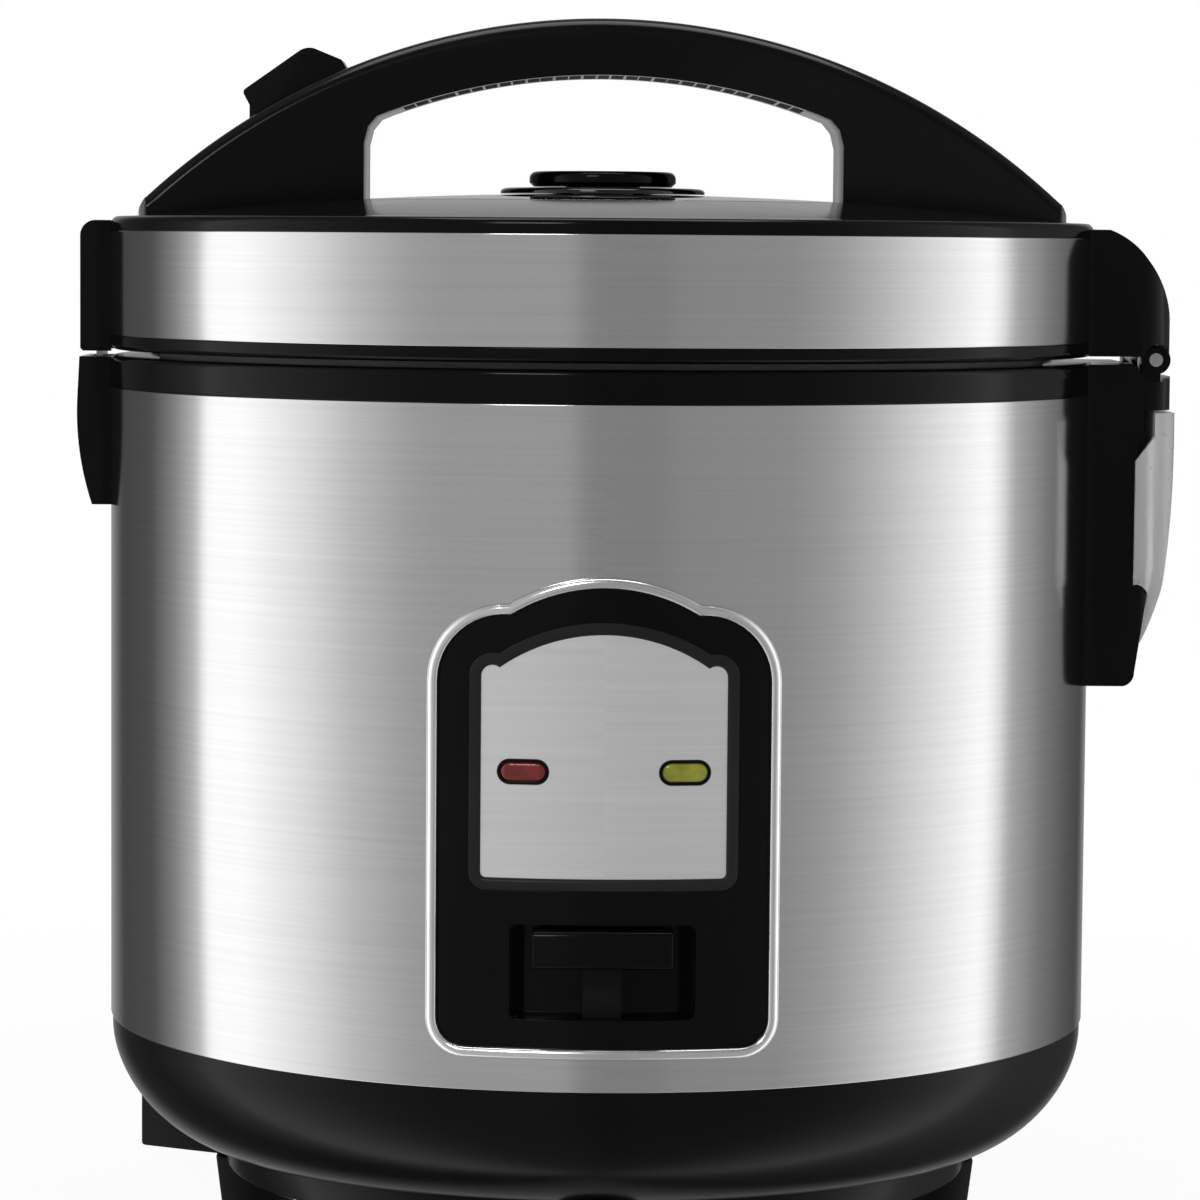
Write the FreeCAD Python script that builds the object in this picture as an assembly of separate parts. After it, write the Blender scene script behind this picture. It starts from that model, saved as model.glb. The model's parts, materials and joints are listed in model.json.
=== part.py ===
"""Rice cooker with a hinged windowed lid, built as an assembly of separate solids.

Millimetres, +Z up. The origin is on the floor under the middle of the round body. -Y is the front with the
control panel, +X is the lid's hinge and -X is its latch. Each function below makes one sub-part.
"""
import FreeCAD
import Part

import math
import os

# ---- driving dimensions: body ----
BODY_R = 110.0            # outside radius of the steel sleeve
SHEET = 0.6               # steel sheet of the sleeve, the lid band and the chamber
WALL = 2.4                # moulded plastic wall
GAP = 0.3                 # running clearance between pieces that move
SEAT = 0.2                # clearance of a lip inside the sheet
SLEEVE_LOW = 46.8         # lower edge of the sleeve
SLEEVE_TOP = 187.5        # upper edge of the sleeve
COLLAR_TOP = 194.5        # upper face of the body's collar
COLLAR_BORE = 101.0       # radius of the opening that the lid's gasket enters
BOWL_R = 109.6            # outside radius of the base bowl at its rim
BOWL_BEND = 44.5          # height where the bowl's side starts to curve in
SKIRT_R = 84.0            # radius of the skirt under the bowl
SKIRT_TOP = 18.8          # height where the bowl meets the skirt
SKIRT_LOW = 12.0          # lower face of the skirt
FOOT_RING = 77.0          # radius of the circle of feet
FOOT_R = 9.5
FOOT_COUNT = 4
COVER_R = 80.0            # radius of the bottom cover
COVER_THICK = 2.0
LEDGE_IN = 74.0           # inside radius of the skirt's ledge

# ---- driving dimensions: cooking chamber ----
POT_R = 94.0              # outside radius of the inner pot
POT_WALL = 1.4
POT_RIM_R = 99.5
POT_LOW = 76.3            # underside of the pot
POT_RIM_Z = 187.3         # underside of the pot's rolled rim
POT_BEND = 14.0           # radius between the pot's side and bottom
RIM_THICK = 1.2
CHAMBER_R = 97.0          # inside radius of the chamber
CHAMBER_LOW = 60.0        # underside of the chamber's floor
CHAMBER_TOP = 184.0       # upper face of the chamber's flange
FLOOR_THICK = 0.8
PLATE_R = 80.0            # heating plate
PLATE_THICK = 10.0
ELEMENT_RING = 58.0       # radius of the heating element's loop
ELEMENT_R = 3.3           # radius of its tube
ELEMENT_END_X = 14.0      # distance of its two terminals from the middle plane
BOLT_RING = 70.0          # radius of the circle of the plate's bolts
SHIELD_THICK = 0.6
TERMINAL_Z = 48.0         # lower ends of the element's terminals
SENSOR_R = 17.5
SENSOR_TOP = POT_LOW - GAP
SENSOR_DROP = 1.0         # how far the sensor cap can still be pressed in

# ---- driving dimensions: lid ----
LID_LOW = 195.8           # underside of the lid's rim
BAND_LOW = 198.9          # lower edge of the lid's steel band
BAND_TOP = 222.0
COVER_EDGE_Z = 225.2      # top of the lid cover at its edge
DOME_TOP = 231.0          # crown of the lid
DOME_EDGE_R = 106.0       # radius where the dome meets the bevelled edge
WINDOW_R = 58.0           # opening for the glass
WINDOW_LEDGE = 4.5        # width of the ledge that carries the glass
GLASS_THICK = 3.0
SEAL_THICK = 0.8
VENT_BORE = 11.0          # hole in the glass
VENT_R = 23.0             # outer ring of the steam vent
CAP_R = 16.5              # lift-out cap of the steam vent
CAP_TOP = 236.0
VENT_LIFT = 12.0

# ---- driving dimensions: handle and release ----
ARCH_R = 145.3            # radius of the handle's outer arch
ARCH_TOP = 269.8
GRIP_THICK = 12.6         # thickness of the grip at its crown
GRIP_ARCH_R = 137.7       # radius of the grip's underside
GRIP_HALF = 53.0          # half the width of the hand opening
HANDLE_END_R = 104.0
HANDLE_MID_HALF = 15.0    # half width of the handle at its crown
HANDLE_END_HALF = 29.0    # and at its ends
HANDLE_SCREW_AT = (84.0, 14.0)
BUTTON_AT = (-67.8, 254.0)
BUTTON_TILT = 28.0        # degrees between the button's seat and the horizontal
BUTTON_REACH = 11.6       # half length of the button along its seat
BUTTON_HALF = 9.0         # half width of the button
BUTTON_TRAVEL = 2.64
STEM_X = (-90.0, -86.0)   # the button's stem that goes down into the lid
STEM_HALF = 3.5
SLIDE_Z = (216.4, 220.4)  # the release slide between the stem and the hook
SLIDE_HALF = 5.0

# ---- driving dimensions: latch and hinge ----
LATCH_OUT = 116.0         # distance of the latch cover's outer face from the axis
LATCH_HALF = 14.5
LATCH_LOW = 195.3
LATCH_TOP = 224.3
CATCH_OUT = 116.9
CATCH_LOW = 161.0
CATCH_HALF = 12.5
CATCH_SLOT_LOW = 183.0
HOOK_X = -112.5           # pivot of the hook
HOOK_Z = 204.0
HOOK_LOW = 187.0
HOOK_TOP = 221.0
HOOK_HALF = 6.0
HOOK_PIN_R = 1.0
HINGE_X = 122.8
HINGE_Z = 195.2
BARREL_R = 3.2
HINGE_PIN_R = 1.5
HINGE_OUT = 126.0         # distance of the hinge cover's outer face from the axis
SPINE_HALF = 25.0
SPINE_LOW = 123.0
SPINE_BOX_LOW = 184.2     # where the spine widens into the hinge box
KNUCKLE_IN = 12.0         # half length of the lid's barrel
KNUCKLE_OUT = 20.0
CUP_OUT = 127.0           # distance of the condensate cup's outer face from the axis
CUP_LOW = 129.0
CUP_TOP = 183.6
CUP_WALL = 1.4
CUP_HALF = 19.7           # half width of the cup's inner part, inside the spine
CUP_LAP = 2.2             # how far the cup's front laps past the spine's sides

# ---- driving dimensions: control panel ----
PANEL_HALF = 36.3
PANEL_LOW = 53.8
PANEL_TOP = 152.6
TRIM_WIDTH = 2.4
TRIM_PROUD = 2.4          # how far the trim stands off the sleeve
FACE_PROUD = 1.2          # how far the panel's face stands off the sleeve
LABEL_HALF = 27.6
LABEL_LOW = 88.5
LABEL_TOP = 143.4
BEZEL_WIDTH = 2.5
LAMP_X = 16.5
LAMP_Z = 112.8
LAMP_HALF = 4.6
LAMP_R = 1.9
LAMP_RING = 0.75
POCKET_HALF = 19.0
POCKET_LOW = 62.0
POCKET_TOP = 81.5
POCKET_BACK = 101.6       # distance of the pocket's back from the axis
POCKET_WALL = 1.4

# ---- driving dimensions: cooking lever ----
KEY_HALF = 14.3
KEY_Z = (72.6, 80.6)
KEY_FRONT = 112.6         # distance of the key's face from the axis
NECK_Y = (-105.2, -102.4)
PIVOT_Y = -32.0
PIVOT_Z = 50.0
LEVER_HALF = 3.0          # half the height of the lever's arm
LEVER_SIDE = 4.0          # half its width
LEVER_END = 6.0
LEVER_PIN_R = 1.5
PLUNGER_Y = -50.0
MAGNET_R = 8.0
MAGNET_Z = (57.0, 61.0)
GUIDE_BORE = 9.0

# ---- driving dimensions: power inlet ----
INLET_AZIMUTH = 152.0
INLET_IN = 88.0
INLET_OUT = 113.0
INLET_HALF = 16.0
INLET_LOW = 6.0
INLET_TOP = 33.0

NODES = {}


def vec(x, y, z):
    """A point."""
    return FreeCAD.Vector(x, y, z)


def node(name, *shapes):
    """Keeps one named sub-part, made of one or more separate solids."""
    solids = [solid for shape in shapes for solid in shape.Solids]
    NODES[name] = solids[0] if len(solids) == 1 else Part.makeCompound(solids)


def disc(radius, low, high, x=0.0, y=0.0):
    """An upright cylinder between two heights."""
    return Part.makeCylinder(radius, high - low, vec(x, y, low))


def ring(inner, outer, low, high):
    """An upright tube about the cooker's axis."""
    return disc(outer, low, high).cut(disc(inner, low - 1, high + 1))


def block(x, y, z):
    """A box from three (low, high) pairs."""
    size = (x[1] - x[0], y[1] - y[0], z[1] - z[0])
    return Part.makeBox(*size, vec(x[0], y[0], z[0]))


def bar(radius, start, end):
    """A round bar between two points."""
    return Part.makeCylinder(radius, (end - start).Length, start, end - start)


def face(start, *steps, place=lambda a, b: vec(a, 0, b)):
    """A flat face. A step is the next corner, or a (middle, end) pair for an arc."""
    edges = []
    here = place(*start)
    for step in steps + (start,):
        if isinstance(step[0], tuple):
            middle, end = (place(*point) for point in step)
            edges.append(Part.Arc(here, middle, end).toShape())
        else:
            end = place(*step)
            if (end - here).Length < 1e-6:
                continue
            edges.append(Part.LineSegment(here, end).toShape())
        here = end
    return Part.Face(Part.Wire(edges))


def turned(start, *steps):
    """A solid of revolution about the cooker's axis from a profile of (radius, height) points."""
    return face(start, *steps).revolve(vec(0, 0, 0), vec(0, 0, 1), 360)


def across(half, start, *steps):
    """A prism from a side profile of (x, z) points, centred on the XZ plane."""
    shape = face(start, *steps).extrude(vec(0, 2 * half, 0))
    shape.translate(vec(0, -half, 0))
    return shape


def lengthwise(half, start, *steps):
    """A prism from a side profile of (y, z) points, centred on the YZ plane."""
    shape = face(start, *steps, place=lambda a, b: vec(0, a, b)).extrude(vec(2 * half, 0, 0))
    shape.translate(vec(-half, 0, 0))
    return shape


def around(count, shape, first=0.0):
    """Copies of a shape at equal angles about the cooker's axis."""
    copies = []
    for index in range(count):
        copy = shape.copy()
        copy.rotate(vec(0, 0, 0), vec(0, 0, 1), first + 360.0 * index / count)
        copies.append(copy)
    return copies


def rounded(shape, radius, wanted):
    """Rounds the edges for which wanted(edge) holds."""
    return shape.makeFillet(radius, [edge for edge in shape.Edges if wanted(edge)])


def upright_edges(x_limit):
    """A test for vertical edges further out along X than a limit, on the limit's side."""
    def test(edge):
        ends = [vertex.Point for vertex in edge.Vertexes]
        if len(ends) != 2 or abs(ends[0].x - ends[1].x) + abs(ends[0].y - ends[1].y) > 1e-6:
            return False
        return ends[0].x * math.copysign(1, x_limit) > abs(x_limit)
    return test


def coil(wire_r, mean_r, low, high, turns, x=0.0, y=0.0):
    """An upright compression spring, as a helix swept by a round wire."""
    pitch = (high - low - 2 * wire_r) / turns
    path = Part.makeHelix(pitch, pitch * turns, mean_r)
    section = Part.Wire(Part.makeCircle(wire_r, vec(mean_r, 0, 0), vec(0, 1, 0)))
    spring = Part.Wire(path).makePipeShell([section], True, True)
    spring.translate(vec(x, y, low + wire_r))
    return spring


def screw(x, y, head_z, length, radius=1.5, up=False):
    """A pan-head screw with a cross slot: its head at head_z and its shank away from it."""
    way = 1 if up else -1
    low, high = sorted((head_z, head_z - way * 1.8))
    head = disc(2 * radius, low, high, x, y)
    slot_at = sorted((low if up else high, (low if up else high) + way * 0.8))
    for dx, dy in ((radius * 1.3, 0.3), (0.3, radius * 1.3)):
        head = head.cut(block((x - dx, x + dx), (y - dy, y + dy), slot_at))
    ends = sorted((head_z, head_z + way * length))
    return head.fuse(disc(radius, *ends, x, y))


# ---- base ----
def bowl_profile(offset):
    """The base bowl's outside as a closed solid, moved inwards by an offset."""
    rim = BOWL_R - offset
    corner = vec(SKIRT_R - offset, 0, SKIRT_TOP + offset)
    bend = Part.BezierCurve()
    bend.setPoles([vec(rim, 0, BOWL_BEND), vec(rim, 0, BOWL_BEND - 11), vec(rim - 11, 0, corner.z), corner])
    low = SKIRT_LOW - 1 if offset else SKIRT_LOW
    lines = [(vec(0, 0, low), vec(0, 0, SLEEVE_LOW)), (vec(0, 0, SLEEVE_LOW), vec(rim, 0, SLEEVE_LOW)),
             (vec(rim, 0, SLEEVE_LOW), vec(rim, 0, BOWL_BEND)), None,
             (corner, vec(corner.x, 0, low)), (vec(corner.x, 0, low), vec(0, 0, low))]
    edges = [bend.toShape() if line is None else Part.LineSegment(*line).toShape() for line in lines]
    return Part.Face(Part.Wire(edges)).revolve(vec(0, 0, 0), vec(0, 0, 1), 360)


def inlet_frame(shape):
    """Turns a shape made along +X to the power inlet's place on the rim."""
    shape.rotate(vec(0, 0, 0), vec(0, 0, 1), INLET_AZIMUTH)
    return shape


def base():
    """The base bowl with its skirt and lip, the bottom cover, the feet and the screws."""
    bowl = bowl_profile(0.0).cut(bowl_profile(WALL))
    ledge = ring(LEDGE_IN, SKIRT_R - 1, SKIRT_LOW, SKIRT_LOW + 2)
    lip_out = BODY_R - SHEET - SEAT
    lip = ring(lip_out - WALL, lip_out, SLEEVE_LOW - 2, SLEEVE_LOW + 5)
    bowl = bowl.fuse([ledge, lip]).removeSplitter()
    hole = block((INLET_IN - 8, INLET_OUT), (-INLET_HALF - SEAT, INLET_HALF + SEAT),
                 (INLET_LOW - SEAT, INLET_TOP + SEAT))
    bowl = bowl.cut(inlet_frame(hole))
    screw_r = (LEDGE_IN + COVER_R) / 2
    screws = around(3, screw(screw_r, 0, SKIRT_LOW, 5, up=True), 45.0)
    shanks = around(3, disc(1.5, SKIRT_LOW - 1, SKIRT_LOW + 5, screw_r, 0), 45.0)
    node("base_bowl", bowl.cut(Part.makeCompound(shanks)))
    cover_low = SKIRT_LOW + 2
    cover = disc(COVER_R, cover_low, cover_low + COVER_THICK)
    slots = [block((x - 1.5, x + 1.5), (-16, 16), (cover_low - 1, cover_low + 5)) for x in range(-32, 33, 8)]
    node("bottom_cover", cover.cut(Part.makeCompound(slots + shanks)))
    node("bottom_screws", *screws)
    pad = Part.makeCone(FOOT_R - 1.5, FOOT_R, SKIRT_LOW, vec(FOOT_RING, 0, 0))
    pad = rounded(pad, 1.5, lambda edge: edge.BoundBox.ZMax < 0.1)
    node("rubber_feet", *around(FOOT_COUNT, pad))


def power_inlet():
    """The appliance inlet at the back left of the base: its housing and its three contact pins."""
    housing = block((INLET_IN, INLET_OUT), (-INLET_HALF, INLET_HALF), (INLET_LOW, INLET_TOP))
    housing = rounded(housing, 1.5, lambda edge: edge.BoundBox.XMin > INLET_OUT - 0.1)
    middle = (INLET_LOW + INLET_TOP) / 2
    socket = block((INLET_OUT - 17, INLET_OUT + 1), (-12, 12), (middle - 9, middle + 9))
    socket = rounded(socket, 3.0, lambda edge: edge.BoundBox.XLength > 10)
    places = ((-7.0, middle - 2), (7.0, middle - 2), (0.0, middle + 3))
    pins = [block((INLET_IN - 7, INLET_OUT - 5), (y - 1, y + 1), (z - 2.2, z + 2.2)) for y, z in places]
    housing = housing.cut(Part.makeCompound([socket] + pins))
    node("power_inlet", inlet_frame(housing))
    node("inlet_pins", *[inlet_frame(pin) for pin in pins])


# ---- control panel ----
def arch_face(half, low, top, corner, shoulder, shoulder_top, arch, inset=0.0):
    """A panel outline with rounded lower corners, round shoulders and a shallow arch, drawn inset by a margin."""
    shoulder_x, shoulder_z = half - shoulder, shoulder_top - shoulder
    half, low, top = half - inset, low + inset, top - inset
    corner, shoulder, arch = corner - inset, shoulder - inset, arch - inset
    arch_z = top - arch
    # where the shoulder's circle meets the arch's circle, nearest the top
    apart = math.hypot(shoulder_x, shoulder_z - arch_z)
    along = (apart ** 2 + arch ** 2 - shoulder ** 2) / (2 * apart)
    off = math.sqrt(arch ** 2 - along ** 2)
    ux, uz = shoulder_x / apart, (shoulder_z - arch_z) / apart
    meet = (along * ux - off * uz, arch_z + along * uz + off * ux)
    sweep = math.atan2(meet[1] - shoulder_z, meet[0] - shoulder_x) / 2
    middle = (shoulder_x + shoulder * math.cos(sweep), shoulder_z + shoulder * math.sin(sweep))
    bend = corner * (1 - math.sqrt(0.5))
    return face((-half + corner, low), (half - corner, low), ((half - bend, low + bend), (half, low + corner)),
                (half, shoulder_z), (middle, meet), ((0, top), (-meet[0], meet[1])),
                ((-middle[0], middle[1]), (-half, shoulder_z)), (-half, low + corner),
                ((-half + bend, low + bend), (-half + corner, low)))


def panel_shape(inset):
    """A prism through the front wall in the control panel's outline."""
    outline = arch_face(PANEL_HALF, PANEL_LOW, PANEL_TOP, 8.0, 16.1, 147.1, 38.0, inset)
    return outline.extrude(vec(0, -2 * BODY_R, 0))


def label_shape(inset):
    """A prism through the front wall in the label's outline."""
    outline = arch_face(LABEL_HALF, LABEL_LOW, LABEL_TOP, 3.6, 4.8, 137.0, 39.0, inset)
    return outline.extrude(vec(0, -2 * BODY_R, 0))


def lamp_shape(side, margin=0.0):
    """A stadium-shaped prism through the label for one indicator lamp."""
    half, radius = LAMP_HALF - LAMP_R, LAMP_R + margin
    x = side * LAMP_X
    outline = face((x - half, LAMP_Z - radius), (x + half, LAMP_Z - radius),
                   ((x + half + radius, LAMP_Z), (x + half, LAMP_Z + radius)), (x - half, LAMP_Z + radius),
                   ((x - half - radius, LAMP_Z), (x - half, LAMP_Z - radius)))
    return outline.extrude(vec(0, -2 * BODY_R, 0))


def front_shell(inner, outer):
    """The part of a tube about the axis that the panel's pieces are cut from."""
    return ring(inner, outer, PANEL_LOW - 5, PANEL_TOP + 5)


def control_panel():
    """The bright trim, the glossy panel with its lever pocket, the label and its bezel, and the lamps."""
    face_out = BODY_R + FACE_PROUD
    trim = front_shell(BODY_R, BODY_R + TRIM_PROUD).common(panel_shape(0.0)).cut(panel_shape(TRIM_WIDTH))
    node("panel_trim", trim)
    panel = front_shell(BODY_R - 2.2, face_out).common(panel_shape(TRIM_WIDTH))
    pocket = block((-POCKET_HALF, POCKET_HALF), (-BODY_R - 9, -POCKET_BACK), (POCKET_LOW, POCKET_TOP))
    tray = block((-POCKET_HALF - POCKET_WALL, POCKET_HALF + POCKET_WALL), (-BODY_R, -POCKET_BACK + POCKET_WALL),
                 (POCKET_LOW - POCKET_WALL, POCKET_TOP + POCKET_WALL)).common(disc(BODY_R - 1, 0, PANEL_TOP))
    neck_room = block((-LEVER_SIDE - 1, LEVER_SIDE + 1), (NECK_Y[0] - 2.4, NECK_Y[1] + 0.6),
                      (POCKET_LOW - 3, POCKET_LOW + 1))
    recess = front_shell(BODY_R + 0.2, BODY_R + 9).common(label_shape(0.0))
    bores = [lamp_shape(side, LAMP_RING) for side in (-1, 1)]
    panel = panel.fuse(tray).cut(Part.makeCompound([pocket, neck_room, recess]))
    node("panel_face", panel.cut(Part.makeCompound(bores)))
    bezel = front_shell(BODY_R + 0.2, face_out + 0.3).common(label_shape(0.0)).cut(label_shape(BEZEL_WIDTH))
    node("label_bezel", bezel)
    plate = front_shell(BODY_R + 0.2, BODY_R + 0.9).common(label_shape(BEZEL_WIDTH))
    rims = front_shell(BODY_R + 0.2, face_out).common(Part.makeCompound(bores))
    plate = plate.fuse(rims.Solids).removeSplitter()
    node("label_plate", plate.cut(Part.makeCompound([lamp_shape(side) for side in (-1, 1)])))
    for name, side in (("lamp_lens_left", -1), ("lamp_lens_right", 1)):
        node(name, front_shell(BODY_R - 2.2, BODY_R + 1.3).common(lamp_shape(side)))
    board_y = -(CHAMBER_R + 4.6)
    board = block((-24, 24), (board_y, board_y + 1.4), (LAMP_Z - 6.5, LAMP_Z + 6.5))
    posts = [block((x - 2, x + 2), (board_y - 4.4, board_y), (LAMP_Z - 6.5, LAMP_Z - 3.5)) for x in (-8, 8)]
    node("lamp_board", board.fuse(posts))
    bulbs = [bar(1.8, vec(side * LAMP_X - 4, board_y - 1.9, LAMP_Z), vec(side * LAMP_X + 4, board_y - 1.9, LAMP_Z))
             for side in (-1, 1)]
    node("lamp_bulbs", *bulbs)


# ---- body ----
def body():
    """The steel sleeve, the collar, the chamber and the keep-warm heater band."""
    sleeve = ring(BODY_R - SHEET, BODY_R, SLEEVE_LOW, SLEEVE_TOP).cut(panel_shape(TRIM_WIDTH - 0.2))
    node("body_sleeve", sleeve.cut(Part.makeCompound(spine_shanks() + catch_shanks())))
    lip = BODY_R - SHEET - SEAT
    bore = CHAMBER_R + 0.8
    ledge = POT_RIM_Z - GAP
    collar = turned((bore, CHAMBER_TOP), (lip - WALL, CHAMBER_TOP), (lip - WALL, CHAMBER_TOP - 2),
                    (lip, CHAMBER_TOP - 2), (lip, SLEEVE_TOP), (BODY_R, SLEEVE_TOP), (BODY_R, COLLAR_TOP - 0.9),
                    (BODY_R - 0.9, COLLAR_TOP), (COLLAR_BORE, COLLAR_TOP), (COLLAR_BORE, ledge), (bore, ledge))
    node("body_collar", collar)
    chamber_out = CHAMBER_R + SHEET
    wall = ring(CHAMBER_R, chamber_out, CHAMBER_LOW, CHAMBER_TOP)
    flange = ring(CHAMBER_R, CHAMBER_R + 7, CHAMBER_TOP - SHEET, CHAMBER_TOP)
    floor = ring(24, chamber_out, CHAMBER_LOW, CHAMBER_LOW + FLOOR_THICK)
    chamber = wall.fuse([flange, floor]).removeSplitter()
    holes = [disc(6, CHAMBER_LOW - 1, CHAMBER_LOW + 2, *point) for point in element_ends()]
    bolt_holes = around(3, disc(1.6, CHAMBER_LOW - 1, CHAMBER_LOW + 2, BOLT_RING, 0), 30.0)
    node("chamber_liner", chamber.cut(Part.makeCompound(holes + bolt_holes)))
    band = ring(chamber_out, chamber_out + 1.4, 110, 128)
    node("warming_band", band.cut(block((-30, 30), (-BODY_R, 0), (100, 140))))


def element_ends():
    """The two points, seen from above, where the heating element turns down to its terminals."""
    reach = math.sqrt(ELEMENT_RING ** 2 - ELEMENT_END_X ** 2)
    return [(side * ELEMENT_END_X, reach) for side in (-1, 1)]


def heating_plate():
    """The cast plate with its tubular element, the shield, the spacers and the bolts under it."""
    top = POT_LOW - GAP
    low = top - PLATE_THICK
    plate = ring(SENSOR_R + 1, PLATE_R, low, top)
    open_angle = math.degrees(math.asin(ELEMENT_END_X / ELEMENT_RING))
    loop = Part.makeTorus(ELEMENT_RING, ELEMENT_R, vec(0, 0, low), vec(0, 0, 1), 0, 360, 360 - 2 * open_angle)
    loop.rotate(vec(0, 0, 0), vec(0, 0, 1), 90 + open_angle)
    for point in element_ends():
        end = Part.makeSphere(ELEMENT_R, vec(*point, low))
        loop = loop.fuse([end, disc(ELEMENT_R, TERMINAL_Z, low, *point)])
    bolts = around(3, screw(BOLT_RING, 0, CHAMBER_LOW, 10, up=True), 30.0)
    floor_top = CHAMBER_LOW + FLOOR_THICK
    legs = around(3, disc(4, floor_top + SHIELD_THICK, low, BOLT_RING, 0), 30.0)
    plate = plate.fuse(legs).removeSplitter()
    node("heating_plate", plate.cut(Part.makeCompound([loop] + bolts)))
    node("heating_element", loop.removeSplitter())
    node("plate_bolts", *bolts)
    shield = ring(30, 90, floor_top, floor_top + SHIELD_THICK)
    holes = [disc(6, floor_top - 1, floor_top + 2, *point) for point in element_ends()]
    holes += around(3, disc(1.6, floor_top - 1, floor_top + 2, BOLT_RING, 0), 30.0)
    node("heat_shield", shield.cut(Part.makeCompound(holes)))


def thermostat():
    """The sensor cap under the pot, its guide and springs, and the magnet on its rod."""
    core_low = SENSOR_TOP - 10
    cap = disc(SENSOR_R, SENSOR_TOP - 1.4, SENSOR_TOP).fuse(ring(SENSOR_R - 1.4, SENSOR_R, SENSOR_TOP - 7, SENSOR_TOP))
    node("sensor_cap", cap.removeSplitter())
    node("ferrite_core", disc(GUIDE_BORE - 0.5, core_low, SENSOR_TOP - 1.4))
    guide = ring(GUIDE_BORE, GUIDE_BORE + 1.2, CHAMBER_LOW - 3.8, CHAMBER_LOW + 10)
    flange = ring(GUIDE_BORE, 27, CHAMBER_LOW - 1.4, CHAMBER_LOW)
    node("sensor_guide", guide.fuse(flange).removeSplitter())
    node("sensor_spring", coil(0.7, GUIDE_BORE + 4, CHAMBER_LOW, SENSOR_TOP - 1.4, 3))
    magnet = disc(MAGNET_R, *MAGNET_Z).fuse(disc(1.6, PIVOT_Z + LEVER_HALF + GAP, MAGNET_Z[0]))
    node("thermostat_magnet", magnet.removeSplitter())
    node("thermostat_spring", coil(0.5, 5.0, MAGNET_Z[1], core_low, 3))


def cooking_lever():
    """The lever with its key, the bracket and pin that carry it, and the switch that it works."""
    arm_z = (PIVOT_Z - LEVER_HALF, PIVOT_Z + LEVER_HALF)
    arm = block((-LEVER_SIDE, LEVER_SIDE), (NECK_Y[0], LEVER_END), arm_z)
    neck = block((-LEVER_SIDE, LEVER_SIDE), NECK_Y, (arm_z[0], KEY_Z[1] - 2))
    bore = bar(LEVER_PIN_R + 0.1, vec(-9, PIVOT_Y, PIVOT_Z), vec(9, PIVOT_Y, PIVOT_Z))
    node("lever_arm", arm.fuse(neck).removeSplitter().cut(bore))
    key = block((-KEY_HALF, KEY_HALF), (-KEY_FRONT, NECK_Y[0]), KEY_Z)
    key = rounded(key, 2.5, lambda edge: edge.BoundBox.YLength > 5 and edge.CenterOfMass.z > KEY_Z[0] + 1)
    node("lever_key", key)
    top = CHAMBER_LOW
    plate = block((-12, 12), (PIVOT_Y - 12, PIVOT_Y + 4.6), (top - 1.6, top))
    gap = LEVER_SIDE + 1
    left = block((-gap - 1.5, -gap), (PIVOT_Y - 8, PIVOT_Y + 3), (PIVOT_Z - 4, top - 1.6))
    right = block((gap, gap + 1.5), (PLUNGER_Y - 10, PIVOT_Y + 3), (PIVOT_Z - 17, top - 1.6))
    pin = bar(LEVER_PIN_R, vec(-gap - 1.5, PIVOT_Y, PIVOT_Z), vec(gap + 1.5, PIVOT_Y, PIVOT_Z))
    node("lever_bracket", plate.fuse([left, right]).removeSplitter().cut(pin))
    node("lever_pin", pin)
    switch_top = PIVOT_Z - 7
    case = block((-LEVER_SIDE, gap), (PLUNGER_Y - 9, PLUNGER_Y + 9), (switch_top - 10, switch_top))
    node("micro_switch", case.cut(disc(1.3, switch_top - 6.5, switch_top + 1, 0, PLUNGER_Y)))
    node("switch_plunger", disc(1.2, switch_top - 4, arm_z[0] - GAP, 0, PLUNGER_Y))


# ---- hinge spine and condensate cup ----
def spine_column(grow=0.0):
    """The hinge spine below the hinge box, as a solid with rounded outer corners, grown by a clearance."""
    side = across(SPINE_HALF + grow, (100, SPINE_LOW - grow), (116.0 + grow, SPINE_LOW - grow),
                  ((117.6 + grow, 123.9), (118.4 + grow, 126)), (122.0 + grow, 150),
                  (122.3 + grow, SPINE_BOX_LOW), (100, SPINE_BOX_LOW))
    plan = block((90, 122.3 + grow), (-SPINE_HALF - grow, SPINE_HALF + grow), (100, SPINE_BOX_LOW))
    return side.common(rounded(plan, 4.0, upright_edges(100)))


def spine_shanks():
    """The four screws' shanks that hold the spine to the sleeve."""
    return [bar(1.2, vec(105, y, z), vec(114, y, z)) for y in (-23, 23) for z in (132, 176)]


def hinge_line(radius, start, end):
    """A round bar on the hinge axis between two places along it."""
    return bar(radius, vec(HINGE_X, start, HINGE_Z), vec(HINGE_X, end, HINGE_Z))


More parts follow.
